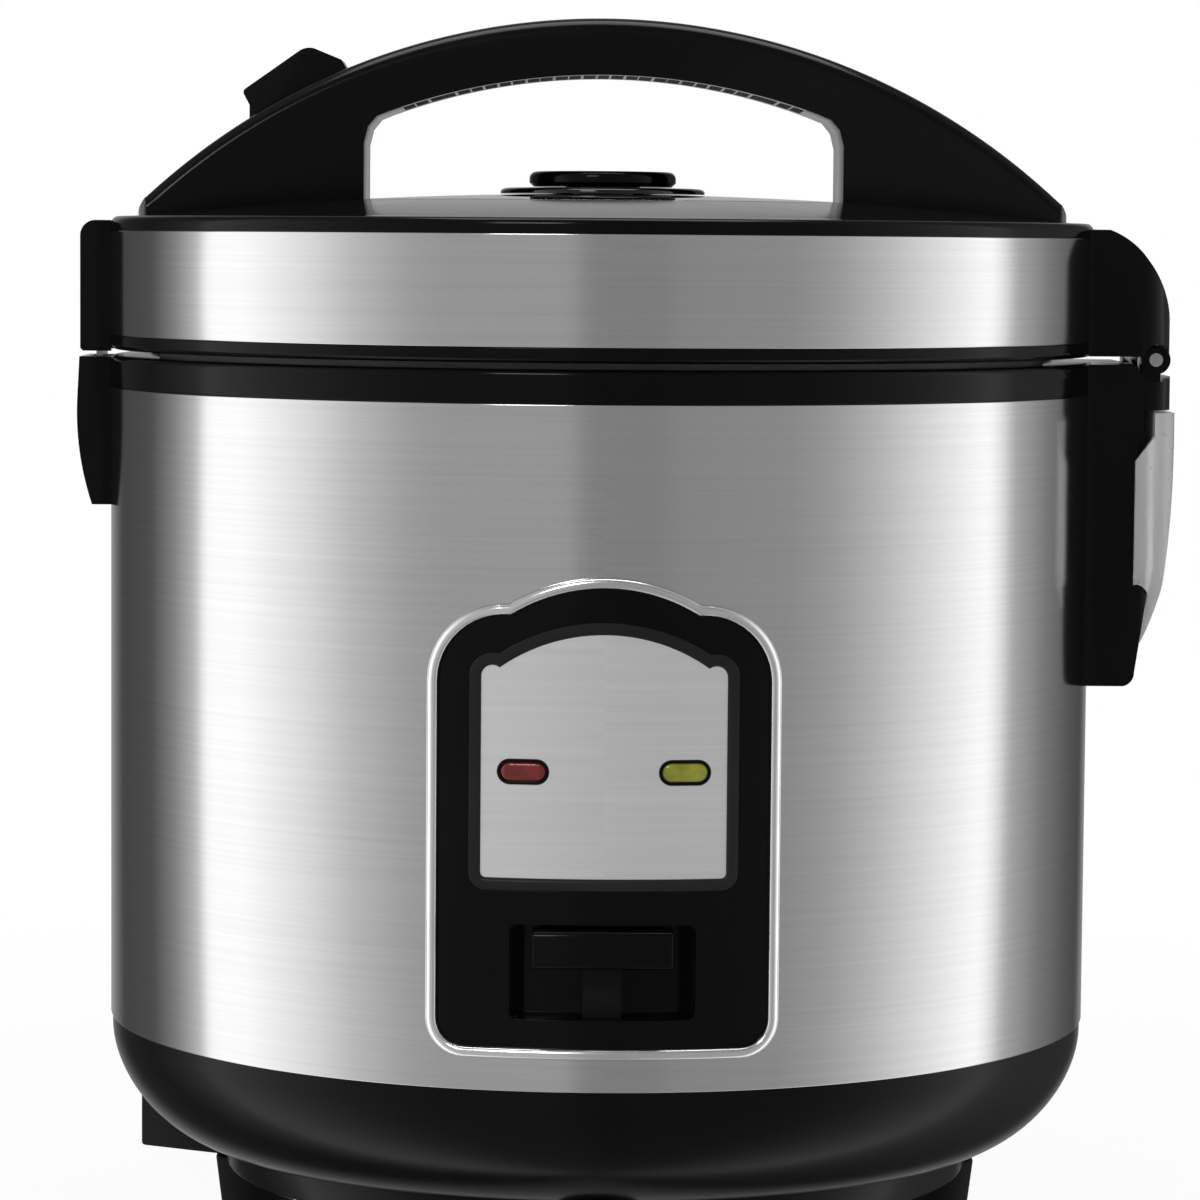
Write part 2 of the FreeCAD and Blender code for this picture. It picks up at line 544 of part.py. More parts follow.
def hinge_spine():
    """The spine on the body with its hinge box, two knuckles, the pin and the screws that hold it."""
    box = block((90, HINGE_OUT), (-SPINE_HALF, SPINE_HALF), (SPINE_BOX_LOW, COLLAR_TOP - GAP))
    box = rounded(box, 6.0, upright_edges(110))
    spine = spine_column().fuse(box).removeSplitter().cut(disc(BODY_R, 0, 300))
    bay = block((BODY_R + 3, 140), (-CUP_HALF - GAP, CUP_HALF + GAP), (SPINE_LOW + 3, SPINE_BOX_LOW))
    room = hinge_line(BARREL_R + 1.6, -SPINE_HALF - 1, SPINE_HALF + 1)
    drain = disc(2.2, SPINE_BOX_LOW - 2, COLLAR_TOP, 119, 0)
    spine = spine.cut(Part.makeCompound([bay, room, drain]))
    knuckles = []
    for side in (-1, 1):
        start, end = side * (KNUCKLE_IN + GAP), side * KNUCKLE_OUT
        web = block((HINGE_X - BARREL_R, HINGE_X + 1), sorted((start, end)),
                    (HINGE_Z - BARREL_R - 2.5, HINGE_Z))
        knuckles += [hinge_line(BARREL_R, start, end), web]
    pin = hinge_line(HINGE_PIN_R, -KNUCKLE_OUT, KNUCKLE_OUT)
    spine = spine.fuse(knuckles).removeSplitter().cut(Part.makeCompound([pin] + spine_shanks()))
    node("hinge_spine", spine)
    node("hinge_pin", pin)
    screws = []
    for y in (-23, 23):
        seat = math.sqrt((BODY_R - SHEET) ** 2 - (abs(y) + 2.4) ** 2)
        for z in (132, 176):
            head = bar(2.4, vec(seat - 2, y, z), vec(seat, y, z))
            screws.append(head.fuse(bar(1.2, vec(seat, y, z), vec(114, y, z))))
    NODES["body_screws"] = screws


def condensate_cup():
    """The clear cup that catches the condensate: it fills the spine's bay and its front laps round the spine."""
    half = SPINE_HALF + CUP_LAP
    side = across(half, (117.8, 173), (121.9, 178.5), (121.9, CUP_TOP), (CUP_OUT - 0.2, CUP_TOP),
                  ((CUP_OUT - 0.6, 165.4), (124.0, 144)), (120.6, CUP_LOW), (117.8, CUP_LOW))
    plan = rounded(block((100, CUP_OUT), (-half, half), (100, 200)), 7.0, upright_edges(110))
    outline = face((-half, 152), (-half, 190), (half, 190), (half, 152), ((0, CUP_LOW), (-half, 152)),
                   place=lambda a, b: vec(90, a, b)).extrude(vec(50, 0, 0))
    front = side.common(plan).common(outline).cut(spine_column(GAP))
    back_x = BODY_R + 3 + GAP
    inner_low = CUP_LOW + 3
    inner = block((back_x, 122.6), (-CUP_HALF, CUP_HALF), (inner_low, CUP_TOP))
    inner = inner.cut(block((118.9, 130), (-CUP_HALF - 1, CUP_HALF + 1), (inner_low - 1, 140)))
    room = block((back_x + CUP_WALL, CUP_OUT - CUP_WALL - 2.2), (-CUP_HALF + CUP_WALL, CUP_HALF - CUP_WALL),
                 (145, CUP_TOP + 1))
    deep = block((back_x + CUP_WALL, 117.5), (-CUP_HALF + CUP_WALL, CUP_HALF - CUP_WALL),
                 (inner_low + CUP_WALL, 146))
    cup = front.fuse(inner).removeSplitter().cut(Part.makeCompound([room, deep]))
    node("condensate_cup", cup)


# ---- lid ----
def dome_z(radius):
    """Height of the lid's domed top at a distance from the axis."""
    drop = DOME_TOP - COVER_EDGE_Z
    sphere = (DOME_EDGE_R ** 2 + drop ** 2) / (2 * drop)
    return DOME_TOP - sphere + math.sqrt(sphere ** 2 - radius ** 2)


def dome_step(start, end, below=0.0):
    """The (middle, end) pair of the dome's arc from one radius to another, lowered by a thickness."""
    middle = (start + end) / 2
    return ((middle, dome_z(middle) - below), (end, dome_z(end) - below))


def lid_envelope():
    """Everything under the lid's outer surface, as one solid to cut the handle with."""
    return turned((0, BAND_TOP), (BODY_R, BAND_TOP), (BODY_R, COVER_EDGE_Z - 1.2),
                  (BODY_R - 1.4, COVER_EDGE_Z), (DOME_EDGE_R, COVER_EDGE_Z), dome_step(DOME_EDGE_R, 0.0))


def lid_shell():
    """The lid's steel band, its moulded cover, lower rim, lining, gasket, window and window seal."""
    lip = BODY_R - SHEET - SEAT
    slide_room = block((-BODY_R - 1, STEM_X[0]), (-SLIDE_HALF - GAP, SLIDE_HALF + GAP),
                       (SLIDE_Z[0] - GAP, SLIDE_Z[1] + GAP))
    band = ring(BODY_R - SHEET, BODY_R, BAND_LOW, BAND_TOP).cut(slide_room)
    node("lid_band", band.cut(Part.makeCompound(hinge_shanks())))
    glass_low = dome_z(WINDOW_R) - GLASS_THICK
    seat = glass_low - SEAL_THICK
    window_in = WINDOW_R - WINDOW_LEDGE
    wall_out = WINDOW_R + WALL
    lining_top = seat - 2.4
    cover = turned((window_in, lining_top), (wall_out, lining_top), (wall_out, dome_z(wall_out) - WALL),
                   dome_step(wall_out, DOME_EDGE_R - 2, WALL), (lip - WALL, COVER_EDGE_Z - WALL - 0.6),
                   (lip - WALL, BAND_TOP - 6), (lip, BAND_TOP - 6), (lip, BAND_TOP), (BODY_R, BAND_TOP),
                   (BODY_R, COVER_EDGE_Z - 1.2), (BODY_R - 1.4, COVER_EDGE_Z), (DOME_EDGE_R, COVER_EDGE_Z),
                   dome_step(DOME_EDGE_R, WINDOW_R), (WINDOW_R, seat), (window_in, seat))
    rail = block((-lip + 1, -93), (-SLIDE_HALF - 2.5, SLIDE_HALF + 2.5), (SLIDE_Z[0] - 2, COVER_EDGE_Z - 2))
    stem_room = block((STEM_X[0] - 0.4, STEM_X[1] + 1.8), (-STEM_HALF - 0.4, STEM_HALF + 0.4), (210, DOME_TOP))
    cover = cover.fuse(rail.common(disc(lip, 200, 230))).removeSplitter()
    node("lid_cover", cover.cut(Part.makeCompound([slide_room, stem_room] + handle_screws())))
    bore = COLLAR_BORE - 1.4
    rim_top = BAND_LOW - 0.6
    node("lid_rim", turned((bore, LID_LOW), (lip, LID_LOW), (BODY_R, LID_LOW + 0.9), (BODY_R, BAND_LOW),
                           (lip, BAND_LOW), (lip, BAND_LOW + 7), (lip - WALL, BAND_LOW + 7),
                           (lip - WALL, rim_top), (bore, rim_top)))
    neck = bore - 4.4
    sheet = 0.8
    node("lid_lining", turned((window_in, lining_top), (wall_out + 1.6, lining_top), (neck + sheet, rim_top + 5),
                              (neck + sheet, rim_top + sheet), (neck + 9, rim_top + sheet), (neck + 9, rim_top),
                              (neck, rim_top), (neck, rim_top + 4.5), (wall_out + 1.2, lining_top - sheet),
                              (window_in, lining_top - sheet)))
    lip_low = POT_RIM_Z + RIM_THICK + GAP
    outer = bore - 0.4
    node("lid_gasket", turned((neck - 2.2, lip_low), (outer - 0.8, lip_low), (outer, lip_low + 1.6),
                              (outer, rim_top), (neck, rim_top), (neck, lip_low + 3), (neck - 2.2, lip_low + 1.6)))
    glass = turned((VENT_BORE, glass_low), (WINDOW_R - SEAT, glass_low), (WINDOW_R - SEAT, dome_z(WINDOW_R)),
                   dome_step(WINDOW_R - SEAT, VENT_BORE))
    node("window_glass", glass)
    node("window_seal", ring(window_in, WINDOW_R - SEAT, seat, glass_low))
    return glass_low


def steam_vent():
    """The vent's seat in the glass, its clamping ring and its lift-out cap."""
    glass_low = dome_z(WINDOW_R) - GLASS_THICK
    top = DOME_TOP + 1.3
    tube = VENT_BORE - GAP
    node("vent_seat", turned((tube - 2, glass_low - 4), (tube, glass_low - 4), (tube, DOME_TOP),
                             (VENT_R, DOME_TOP), (VENT_R, DOME_TOP + 0.7), (VENT_R - 0.6, top), (tube - 2, top)))
    node("vent_clamp", ring(tube, tube + 5, glass_low - 3, glass_low))
    stem = tube - 2 - GAP
    cap = turned((stem - 1.6, glass_low), (stem, glass_low), (stem, top + GAP), (CAP_R - 1, top + GAP),
                 (CAP_R, top + 1.2), (CAP_R, CAP_TOP - 1.4), ((CAP_R - 0.5, CAP_TOP - 0.4), (CAP_R - 1.6, CAP_TOP)),
                 (0, CAP_TOP), (0, CAP_TOP - 1.6), (stem - 1.6, CAP_TOP - 1.6))
    holes = around(6, disc(1.3, CAP_TOP - 3, CAP_TOP + 1, 4.2, 0))
    node("vent_cap", cap.cut(Part.makeCompound(holes)))


# ---- handle and release ----
def arch_z(x, radius, top):
    """Height of an arch with its crown at x = 0."""
    return top - radius + math.sqrt(radius ** 2 - x ** 2)


def handle_blank():
    """The handle's outside without its hand opening: an arch, waisted in the middle, standing on the lid."""
    end = HANDLE_END_R
    arch = across(HANDLE_END_HALF, (-end, BAND_TOP), (end, BAND_TOP), (end, arch_z(end, ARCH_R, ARCH_TOP)),
                  ((0, ARCH_TOP), (-end, arch_z(end, ARCH_R, ARCH_TOP))))
    plan = face((-end, -HANDLE_END_HALF), ((0, -HANDLE_MID_HALF), (end, -HANDLE_END_HALF)), (end, HANDLE_END_HALF),
                ((0, HANDLE_MID_HALF), (-end, HANDLE_END_HALF)), place=lambda a, b: vec(a, b, 200))
    return arch.common(plan.extrude(vec(0, 0, 100)))


def hand_opening():
    """The space under the grip."""
    inner_top = ARCH_TOP - GRIP_THICK
    corner = GRIP_HALF - 5
    corner_z = arch_z(corner, GRIP_ARCH_R, inner_top)
    return across(HANDLE_END_HALF + 1, (-GRIP_HALF, 200), (GRIP_HALF, 200), (GRIP_HALF, corner_z - 6.5),
                  ((GRIP_HALF - 1.3, corner_z - 2.4), (corner, corner_z)),
                  ((0, inner_top), (-corner, corner_z)), ((1.3 - GRIP_HALF, corner_z - 2.4),
                                                          (-GRIP_HALF, corner_z - 6.5)))


def on_seat(shape):
    """Moves a shape drawn about the origin to the release button's tilted seat."""
    shape.rotate(vec(0, 0, 0), vec(0, 1, 0), -BUTTON_TILT)
    shape.translate(vec(BUTTON_AT[0], 0, BUTTON_AT[1]))
    return shape


def handle_screws():
    """The four screws that hold the handle, their heads under the lid's cover."""
    x, y = HANDLE_SCREW_AT
    seat = dome_z(math.hypot(x, y) + 3) - WALL
    return [screw(side * x, end * y, seat, 12, up=True) for side in (-1, 1) for end in (-1, 1)]


def handle():
    """The arched handle with its button's seat and stem channel, the grip lining and the handle's screws."""
    shape = handle_blank()
    shape = rounded(shape, 4.0, lambda edge: edge.Length > 150 and edge.CenterOfMass.z > 240)
    shape = shape.common(disc(HANDLE_END_R, 200, 300)).cut(lid_envelope()).cut(hand_opening())
    lining_blank = handle_blank().common(block((-45, 45), (-11, 11), (240, 262)))
    inner_top = ARCH_TOP - GRIP_THICK
    lining_room = across(40, (-45, 230), (45, 230), (45, arch_z(45, GRIP_ARCH_R + 2, inner_top + 2)),
                         ((0, inner_top + 2), (-45, arch_z(45, GRIP_ARCH_R + 2, inner_top + 2))))
    lining = lining_blank.common(lining_room).cut(hand_opening())
    node("grip_lining", lining)
    seat = on_seat(block((-BUTTON_REACH - 0.4, BUTTON_REACH + 0.4), (-BUTTON_HALF - 0.4, BUTTON_HALF + 0.4),
                         (-3.2 - BUTTON_TRAVEL - 0.4, 14)))
    neck = block((-79.6, -67.0), (-7.4, 7.4), (229.9, 250))
    riser = block((-82.4, -76.4), (-STEM_HALF - 0.4, STEM_HALF + 0.4), (228.2, 241.9))
    shelf = block((STEM_X[0] - 0.4, -76.4), (-STEM_HALF - 0.4, STEM_HALF + 0.4), (228.2, 234.9))
    stem = block((STEM_X[0] - 0.4, STEM_X[1] + 1.8), (-STEM_HALF - 0.4, STEM_HALF + 0.4), (220, 234))
    screws = handle_screws()
    tools = [lining, seat, neck, riser, shelf, stem] + screws
    node("handle", shape.cut(Part.makeCompound(tools)))
    NODES["lid_screws"] = screws


def release():
    """The release button with its stem, its spring, the slide, and the hook on its pin."""
    reach = BUTTON_REACH
    head = across(BUTTON_HALF, (-reach, -3.2), (-reach, 4.4), ((0.3 - reach, 5.1), (1.0 - reach, 5.4)), (3.5, 7.2),
                  ((5.4, 7.1), (7.0, 6.2)), (reach - 0.4, 1.2), (reach - 0.2, -3.2))
    head = on_seat(head)
    neck = block((-79, -69), (-7, 7), (240, 250.2))
    riser = block((-82, -78), (-STEM_HALF, STEM_HALF), (231, 241.5))
    shelf = block((STEM_X[0], -78), (-STEM_HALF, STEM_HALF), (231, 234.5))
    wedge = SLIDE_Z[0] + 1
    stem = across(STEM_HALF, (STEM_X[0], wedge + 2.52), (STEM_X[0] + 3.5, wedge - 0.98), (STEM_X[1], wedge - 0.98),
                  (STEM_X[1], 234.5), (STEM_X[0], 234.5))
    node("release_button", head.fuse([neck, riser, shelf, stem]).removeSplitter())
    node("button_spring", coil(0.5, 3.0, 229.9, 240, 5, -74))
    slide_end = STEM_X[1] - 1.9
    node("release_slide", across(SLIDE_HALF, (HOOK_X + 0.9, SLIDE_Z[0]), (slide_end, SLIDE_Z[0]), (slide_end, wedge),
                                 (slide_end - 3, SLIDE_Z[1]), (HOOK_X + 0.9, SLIDE_Z[1])))
    plate = block((HOOK_X - 0.7, HOOK_X + 0.7), (-HOOK_HALF, HOOK_HALF), (HOOK_LOW, HOOK_TOP))
    nose = across(HOOK_HALF, (HOOK_X - 1.9, HOOK_LOW + 2), (HOOK_X - 0.5, HOOK_LOW), (HOOK_X, HOOK_LOW),
                  (HOOK_X, HOOK_LOW + 2))
    eye = bar(1.9, vec(HOOK_X, -HOOK_HALF, HOOK_Z), vec(HOOK_X, HOOK_HALF, HOOK_Z))
    bore = bar(HOOK_PIN_R + 0.08, vec(HOOK_X, -9, HOOK_Z), vec(HOOK_X, 9, HOOK_Z))
    node("latch_hook", plate.fuse([nose, eye]).removeSplitter().cut(bore))
    pin = bar(HOOK_PIN_R, vec(HOOK_X, -9, HOOK_Z), vec(HOOK_X, 9, HOOK_Z))
    node("hook_pin", pin)
    cover = across(LATCH_HALF, (-100, LATCH_LOW), (0.6 - LATCH_OUT, LATCH_LOW), (-LATCH_OUT, LATCH_LOW + 0.6),
                   (-LATCH_OUT, LATCH_TOP - 3.5), ((1 - LATCH_OUT, LATCH_TOP - 1), (3.5 - LATCH_OUT, LATCH_TOP)),
                   (-100, LATCH_TOP))
    cavity = block((HOOK_X - 2.4, -90), (-8, 8), (LATCH_LOW - 1, LATCH_TOP - 2.3))
    node("latch_cover", cover.cut(Part.makeCompound([cavity, pin, disc(BODY_R, 0, 300)])))


def catch_shanks():
    """The two screws' shanks that hold the catch to the sleeve."""
    return [bar(1.2, vec(-112.5, y, 170), vec(-105, y, 170)) for y in (-7, 7)]


def latch_catch():
    """The catch on the body that receives the hook, and its screws."""
    catch = across(CATCH_HALF, (-100, COLLAR_TOP - 0.5), (-116.4, COLLAR_TOP - 0.5), (-CATCH_OUT, 183.8),
                   ((-116.3, 172.5), (-113.6, CATCH_LOW)), (-100, CATCH_LOW))
    slot = block((HOOK_X - 2.3, -BODY_R), (-HOOK_HALF - 1.5, HOOK_HALF + 1.5), (CATCH_SLOT_LOW, COLLAR_TOP))
    node("latch_catch", catch.cut(Part.makeCompound([slot, disc(BODY_R, 0, 300)] + catch_shanks())))
    heads = []
    for y in (-7, 7):
        seat = -math.sqrt((BODY_R - SHEET) ** 2 - (abs(y) + 2.4) ** 2)
        heads.append(bar(2.4, vec(seat, y, 170), vec(seat + 2, y, 170)).fuse(
            bar(1.2, vec(-112.5, y, 170), vec(seat, y, 170))))
    node("body_screws", *NODES["body_screws"], *heads)


def hinge_shanks():
    """The two screws' shanks that hold the hinge cover to the lid's band."""
    return [bar(1.2, vec(105, y, 210), vec(114, y, 210)) for y in (-18, 18)]


def hinge_cover():
    """The lid's half of the hinge: a curved cover with the barrel that turns on the pin."""
    cover = across(SPINE_HALF, (100, HINGE_Z + 0.8), (HINGE_OUT, HINGE_Z + 0.8), (HINGE_OUT, 198),
                   ((125.0, 208.3), (120.2, 217.3)), ((116.2, 221.4), (111.6, 223.9)), (100, 223.9))
    plan = rounded(block((90, HINGE_OUT), (-SPINE_HALF, SPINE_HALF), (190, 230)), 8.0, upright_edges(110))
    room = hinge_line(BARREL_R + GAP, -SPINE_HALF - 1, SPINE_HALF + 1)
    cover = cover.common(plan).cut(Part.makeCompound([disc(BODY_R, 0, 300), room]))
    barrel = hinge_line(BARREL_R, -KNUCKLE_IN, KNUCKLE_IN)
    web = block((HINGE_X - BARREL_R, HINGE_X + 1), (-KNUCKLE_IN, KNUCKLE_IN), (HINGE_Z, HINGE_Z + 5))
    bore = hinge_line(HINGE_PIN_R + 0.08, -KNUCKLE_OUT, KNUCKLE_OUT)
    cover = cover.fuse([barrel, web]).removeSplitter()
    node("hinge_cover", cover.cut(Part.makeCompound([bore] + hinge_shanks())))
    screws = []
    for y in (-18, 18):
        seat = math.sqrt((BODY_R - SHEET) ** 2 - (abs(y) + 2.4) ** 2)
        screws.append(bar(2.4, vec(seat - 2, y, 210), vec(seat, y, 210)).fuse(
            bar(1.2, vec(seat, y, 210), vec(114, y, 210))))
    node("lid_screws", *NODES["lid_screws"], *screws)


def build():
    """Builds every sub-part."""
    base()
    power_inlet()
    control_panel()
    body()
    heating_plate()
    thermostat()
    cooking_lever()
    hinge_spine()
    condensate_cup()
    lid_shell()
    steam_vent()
    handle()
    release()
    latch_catch()
    hinge_cover()
    pot_bend = POT_BEND * (1 - math.sqrt(0.5))
    inner = POT_R - POT_WALL
    in_bend = POT_BEND - POT_WALL
    in_mid = in_bend * (1 - math.sqrt(0.5))
    node("inner_pot", turned(
        (0, POT_LOW), (POT_R - POT_BEND, POT_LOW), ((POT_R - pot_bend, POT_LOW + pot_bend), (POT_R, POT_LOW + POT_BEND)),
        (POT_R, POT_RIM_Z), (POT_RIM_R, POT_RIM_Z), (POT_RIM_R, POT_RIM_Z + RIM_THICK), (inner, POT_RIM_Z + RIM_THICK),
        (inner, POT_LOW + POT_BEND), ((inner - in_mid, POT_LOW + POT_WALL + in_mid),
                                      (inner - in_bend, POT_LOW + POT_WALL)), (0, POT_LOW + POT_WALL)))


if __name__ == "__main__":
    build()
    os.makedirs("parts", exist_ok=True)
    for name, shape in NODES.items():
        assert shape.isValid(), name
        shape.exportStep(os.path.join("parts", name + ".step"))
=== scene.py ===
"""A rice cooker with a brushed steel body, glossy black mouldings and a windowed lid."""
import json
import logging
import math
from dataclasses import dataclass
from enum import Enum
from typing import Callable, Iterable, Sequence

import bmesh
import bpy
from mathutils import Matrix, Vector

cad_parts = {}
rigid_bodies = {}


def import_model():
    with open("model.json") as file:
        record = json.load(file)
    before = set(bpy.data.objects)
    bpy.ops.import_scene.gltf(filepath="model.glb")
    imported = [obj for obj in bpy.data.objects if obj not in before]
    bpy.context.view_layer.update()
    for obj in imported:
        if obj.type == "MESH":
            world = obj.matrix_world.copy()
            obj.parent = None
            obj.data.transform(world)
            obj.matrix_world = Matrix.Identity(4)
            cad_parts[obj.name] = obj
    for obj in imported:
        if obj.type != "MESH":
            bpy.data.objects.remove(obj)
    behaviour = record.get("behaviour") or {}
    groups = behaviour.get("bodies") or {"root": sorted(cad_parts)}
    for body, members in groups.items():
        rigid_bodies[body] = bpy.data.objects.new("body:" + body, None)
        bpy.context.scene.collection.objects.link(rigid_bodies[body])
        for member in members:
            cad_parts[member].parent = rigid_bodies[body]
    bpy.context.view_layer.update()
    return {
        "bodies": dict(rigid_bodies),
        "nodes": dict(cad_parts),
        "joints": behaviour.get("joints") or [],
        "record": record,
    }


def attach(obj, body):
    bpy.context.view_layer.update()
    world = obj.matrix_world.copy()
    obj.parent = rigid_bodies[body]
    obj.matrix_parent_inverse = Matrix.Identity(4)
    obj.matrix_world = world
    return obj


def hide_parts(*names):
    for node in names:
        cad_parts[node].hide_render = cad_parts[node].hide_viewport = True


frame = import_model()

LOG = logging.getLogger("rice_cooker")
MM = 0.001
Pair = tuple[float, float]
Triple = tuple[float, float, float]
Colour = tuple[float, float, float]


# ---------------------------------------------------------------- shader wiring
class Wire:
    """A number socket that Python's operators work on; each operation adds one Math node."""

    def __init__(self, shader: "Graph", socket: bpy.types.NodeSocket) -> None:
        """Keeps the shader that the socket belongs to, and the socket."""
        self.shader = shader
        self.socket = socket

    def _maths(self, operation: str, first: "Wire | float", second: "Wire | float" = 0.0) -> "Wire":
        """Adds a Math node.

        Args:
            operation: the Math node's operation.
            first: its first value.
            second: its second value.

        Returns:
            The node's result.
        """
        return self.shader.node("ShaderNodeMath", {"operation": operation}, {0: first, 1: second})

    def __add__(self, other: "Wire | float") -> "Wire":
        """This plus another value."""
        return self._maths("ADD", self, other)

    __radd__ = __add__

    def __sub__(self, other: "Wire | float") -> "Wire":
        """This minus another value."""
        return self._maths("SUBTRACT", self, other)

    def __rsub__(self, other: float) -> "Wire":
        """Another value minus this."""
        return self._maths("SUBTRACT", other, self)

    def __mul__(self, other: "Wire | float") -> "Wire":
        """This times another value."""
        return self._maths("MULTIPLY", self, other)

    __rmul__ = __mul__

    def __truediv__(self, other: "Wire | float") -> "Wire":
        """This divided by another value."""
        return self._maths("DIVIDE", self, other)

    def __pow__(self, other: float) -> "Wire":
        """This to a power."""
        return self._maths("POWER", self, other)

    def atan2(self, other: "Wire") -> "Wire":
        """The angle of the point (other, this)."""
        return self._maths("ARCTAN2", self, other)

    def sine(self) -> "Wire":
        """The sine of this, in radians."""
        return self._maths("SINE", self)

    def above(self, limit: float, soft: float) -> "Wire":
        """A mask that rises from 0 to 1 as this passes a limit.

        Args:
            limit: where the mask starts to rise.
            soft: how much further it takes to reach 1.

        Returns:
            The mask.
        """
        settings = {"clamp": True}
        return self.shader.node("ShaderNodeMapRange", settings, {0: self, 1: limit, 2: limit + soft})


class Graph:
    """A shader node tree that nodes are added to."""

    def __init__(self, tree: bpy.types.NodeTree) -> None:
        """Keeps the tree."""
        self.tree = tree

    def put(self, socket: bpy.types.NodeSocket, value: object) -> None:
        """Sets a socket to a value or links it.

        Args:
            socket: the input socket.
            value: a Wire, a number, a colour or a vector.
        """
        if isinstance(value, Wire):
            self.tree.links.new(value.socket, socket)
        elif isinstance(value, tuple) and len(value) == 3 and socket.type == "RGBA":
            socket.default_value = (*value, 1.0)
        else:
            socket.default_value = value

    def node(self, kind: str, settings: dict[str, object], values: dict[object, object],
             output: object = 0) -> Wire:
        """Adds a node.

        Args:
            kind: the node's type.
            settings: the properties to set first; "stops" is a ramp's (place, colour) list.
            values: a value or Wire for each input, by index or name.
            output: the index or name of the output wanted.

        Returns:
            That output.
        """
        made = self.tree.nodes.new(kind)
        for key, value in settings.items():
            if key == "stops":
                ramp = made.color_ramp.elements
                while len(ramp) < len(value):
                    ramp.new(0.5)
                for stop, (place, colour) in zip(ramp, value):
                    stop.position = place
                    stop.color = (*colour, 1.0)
            else:
                setattr(made, key, value)
        for key, value in values.items():
            self.put(made.inputs[key], value)
        return Wire(self, made.outputs[output])

    def split(self, vector: Wire) -> tuple[Wire, Wire, Wire]:
        """A vector's three numbers.

        Args:
            vector: the vector.

        Returns:
            Its X, Y and Z.
        """
        first = self.node("ShaderNodeSeparateXYZ", {}, {0: vector})
        outputs = first.socket.node.outputs
        return tuple(Wire(self, outputs[index]) for index in range(3))

    def join(self, x: Wire | float, y: Wire | float, z: Wire | float) -> Wire:
        """A vector made of three numbers."""
        return self.node("ShaderNodeCombineXYZ", {}, {0: x, 1: y, 2: z})

    def noise(self, vector: Wire, scale: float, detail: float = 3.0, rough: float = 0.5) -> Wire:
        """Fractal noise.

        Args:
            vector: where it is read.
            scale: how fine it is, in cycles per metre.
            detail: the number of octaves.
            rough: how strong the finer octaves are.

        Returns:
            A value around 0.5.
        """
        values = {"Vector": vector, "Scale": scale, "Detail": detail, "Roughness": rough}
        return self.node("ShaderNodeTexNoise", {}, values, "Fac")

    def blend(self, factor: Wire, first: Colour, second: Colour) -> Wire:
        """A colour between two, by a factor."""
        settings = {"data_type": "RGBA"}
        return self.node("ShaderNodeMix", settings, {0: factor, 6: first, 7: second}, 2)


class Shader(Graph):
    """One material's node tree, with a Principled shader at its end."""

    def __init__(self, name: str) -> None:
        """Makes an empty material of that name."""
        self.material = bpy.data.materials.new(name)
        self.material.use_nodes = True
        super().__init__(self.material.node_tree)
        self.tree.nodes.clear()
        self.output = self.tree.nodes.new("ShaderNodeOutputMaterial")
        self.surface = self.tree.nodes.new("ShaderNodeBsdfPrincipled")
        self.tree.links.new(self.surface.outputs[0], self.output.inputs["Surface"])

    def place(self) -> Wire:
        """The point on the surface, in the object's own coordinates, in metres."""
        return self.node("ShaderNodeTexCoord", {}, {}, "Object")

    def relief(self, height: Wire, depth: float, strength: float = 1.0) -> Wire:
        """A bump normal.

        Args:
            height: the height, from 0 to 1.
            depth: what a height of 1 stands for, in metres.
            strength: how much of the bump is used.

        Returns:
            The normal.
        """
        values = {"Strength": strength, "Distance": depth, "Height": height}
        return self.node("ShaderNodeBump", {}, values)

    def finish(self, values: dict[str, object]) -> bpy.types.Material:
        """Sets the Principled shader's sockets and returns the material."""
        for key, value in values.items():
            self.put(self.surface.inputs[key], value)
        return self.material


# ---------------------------------------------------------------- finishes
@dataclass(frozen=True)
class Finish:
    """A surface finish. Each kind of finish says how its shader is built."""

    name: str

    @property
    def title(self) -> str:
        """The material's name, apart from those that come with the frame."""
        return "finish_" + self.name

    def build(self) -> bpy.types.Material:
        """Builds the material; each kind of finish has its own way."""
        raise NotImplementedError

    def material(self) -> bpy.types.Material:
        """The material, built once."""
        return bpy.data.materials.get(self.title) or self.build()


@dataclass(frozen=True)
class BrushedSteel(Finish):
    """Stainless sheet brushed round the body, with hair-fine lines and faint long streaks."""

    colour: Colour = (0.62, 0.62, 0.62)
    roughness: float = 0.10
    line_scale: float = 3000.0
    line_depth: float = 0.0000075
    metal: float = 1.0

    def build(self) -> bpy.types.Material:
        """Builds the brushed material."""
        shader = Shader(self.title)
        x, y, z = shader.split(shader.place())
        turn = x.atan2(y)
        radius = (x * x + y * y) ** 0.5
        fine = shader.noise(shader.join(turn * 1.4, z * self.line_scale, radius * self.line_scale), 1.0, 4.0,
                            0.7)
        long = shader.noise(shader.join(turn * 0.5, z * 900.0, radius * 900.0), 1.0, 3.0, 0.6)
        smudge = shader.noise(shader.place(), 9.0, 3.0, 0.55)
        shade = long * 0.6 + fine * 0.4
        low = tuple(0.93 * part for part in self.colour)
        high = tuple(min(1.0, 1.05 * part) for part in self.colour)
        return shader.finish({
            "Base Color": shader.blend(shade.above(0.3, 0.4), low, high),
            "Metallic": self.metal,
            "Roughness": self.roughness + fine * 0.03 + smudge * 0.02,
            "Normal": shader.relief(fine, self.line_depth),
        })


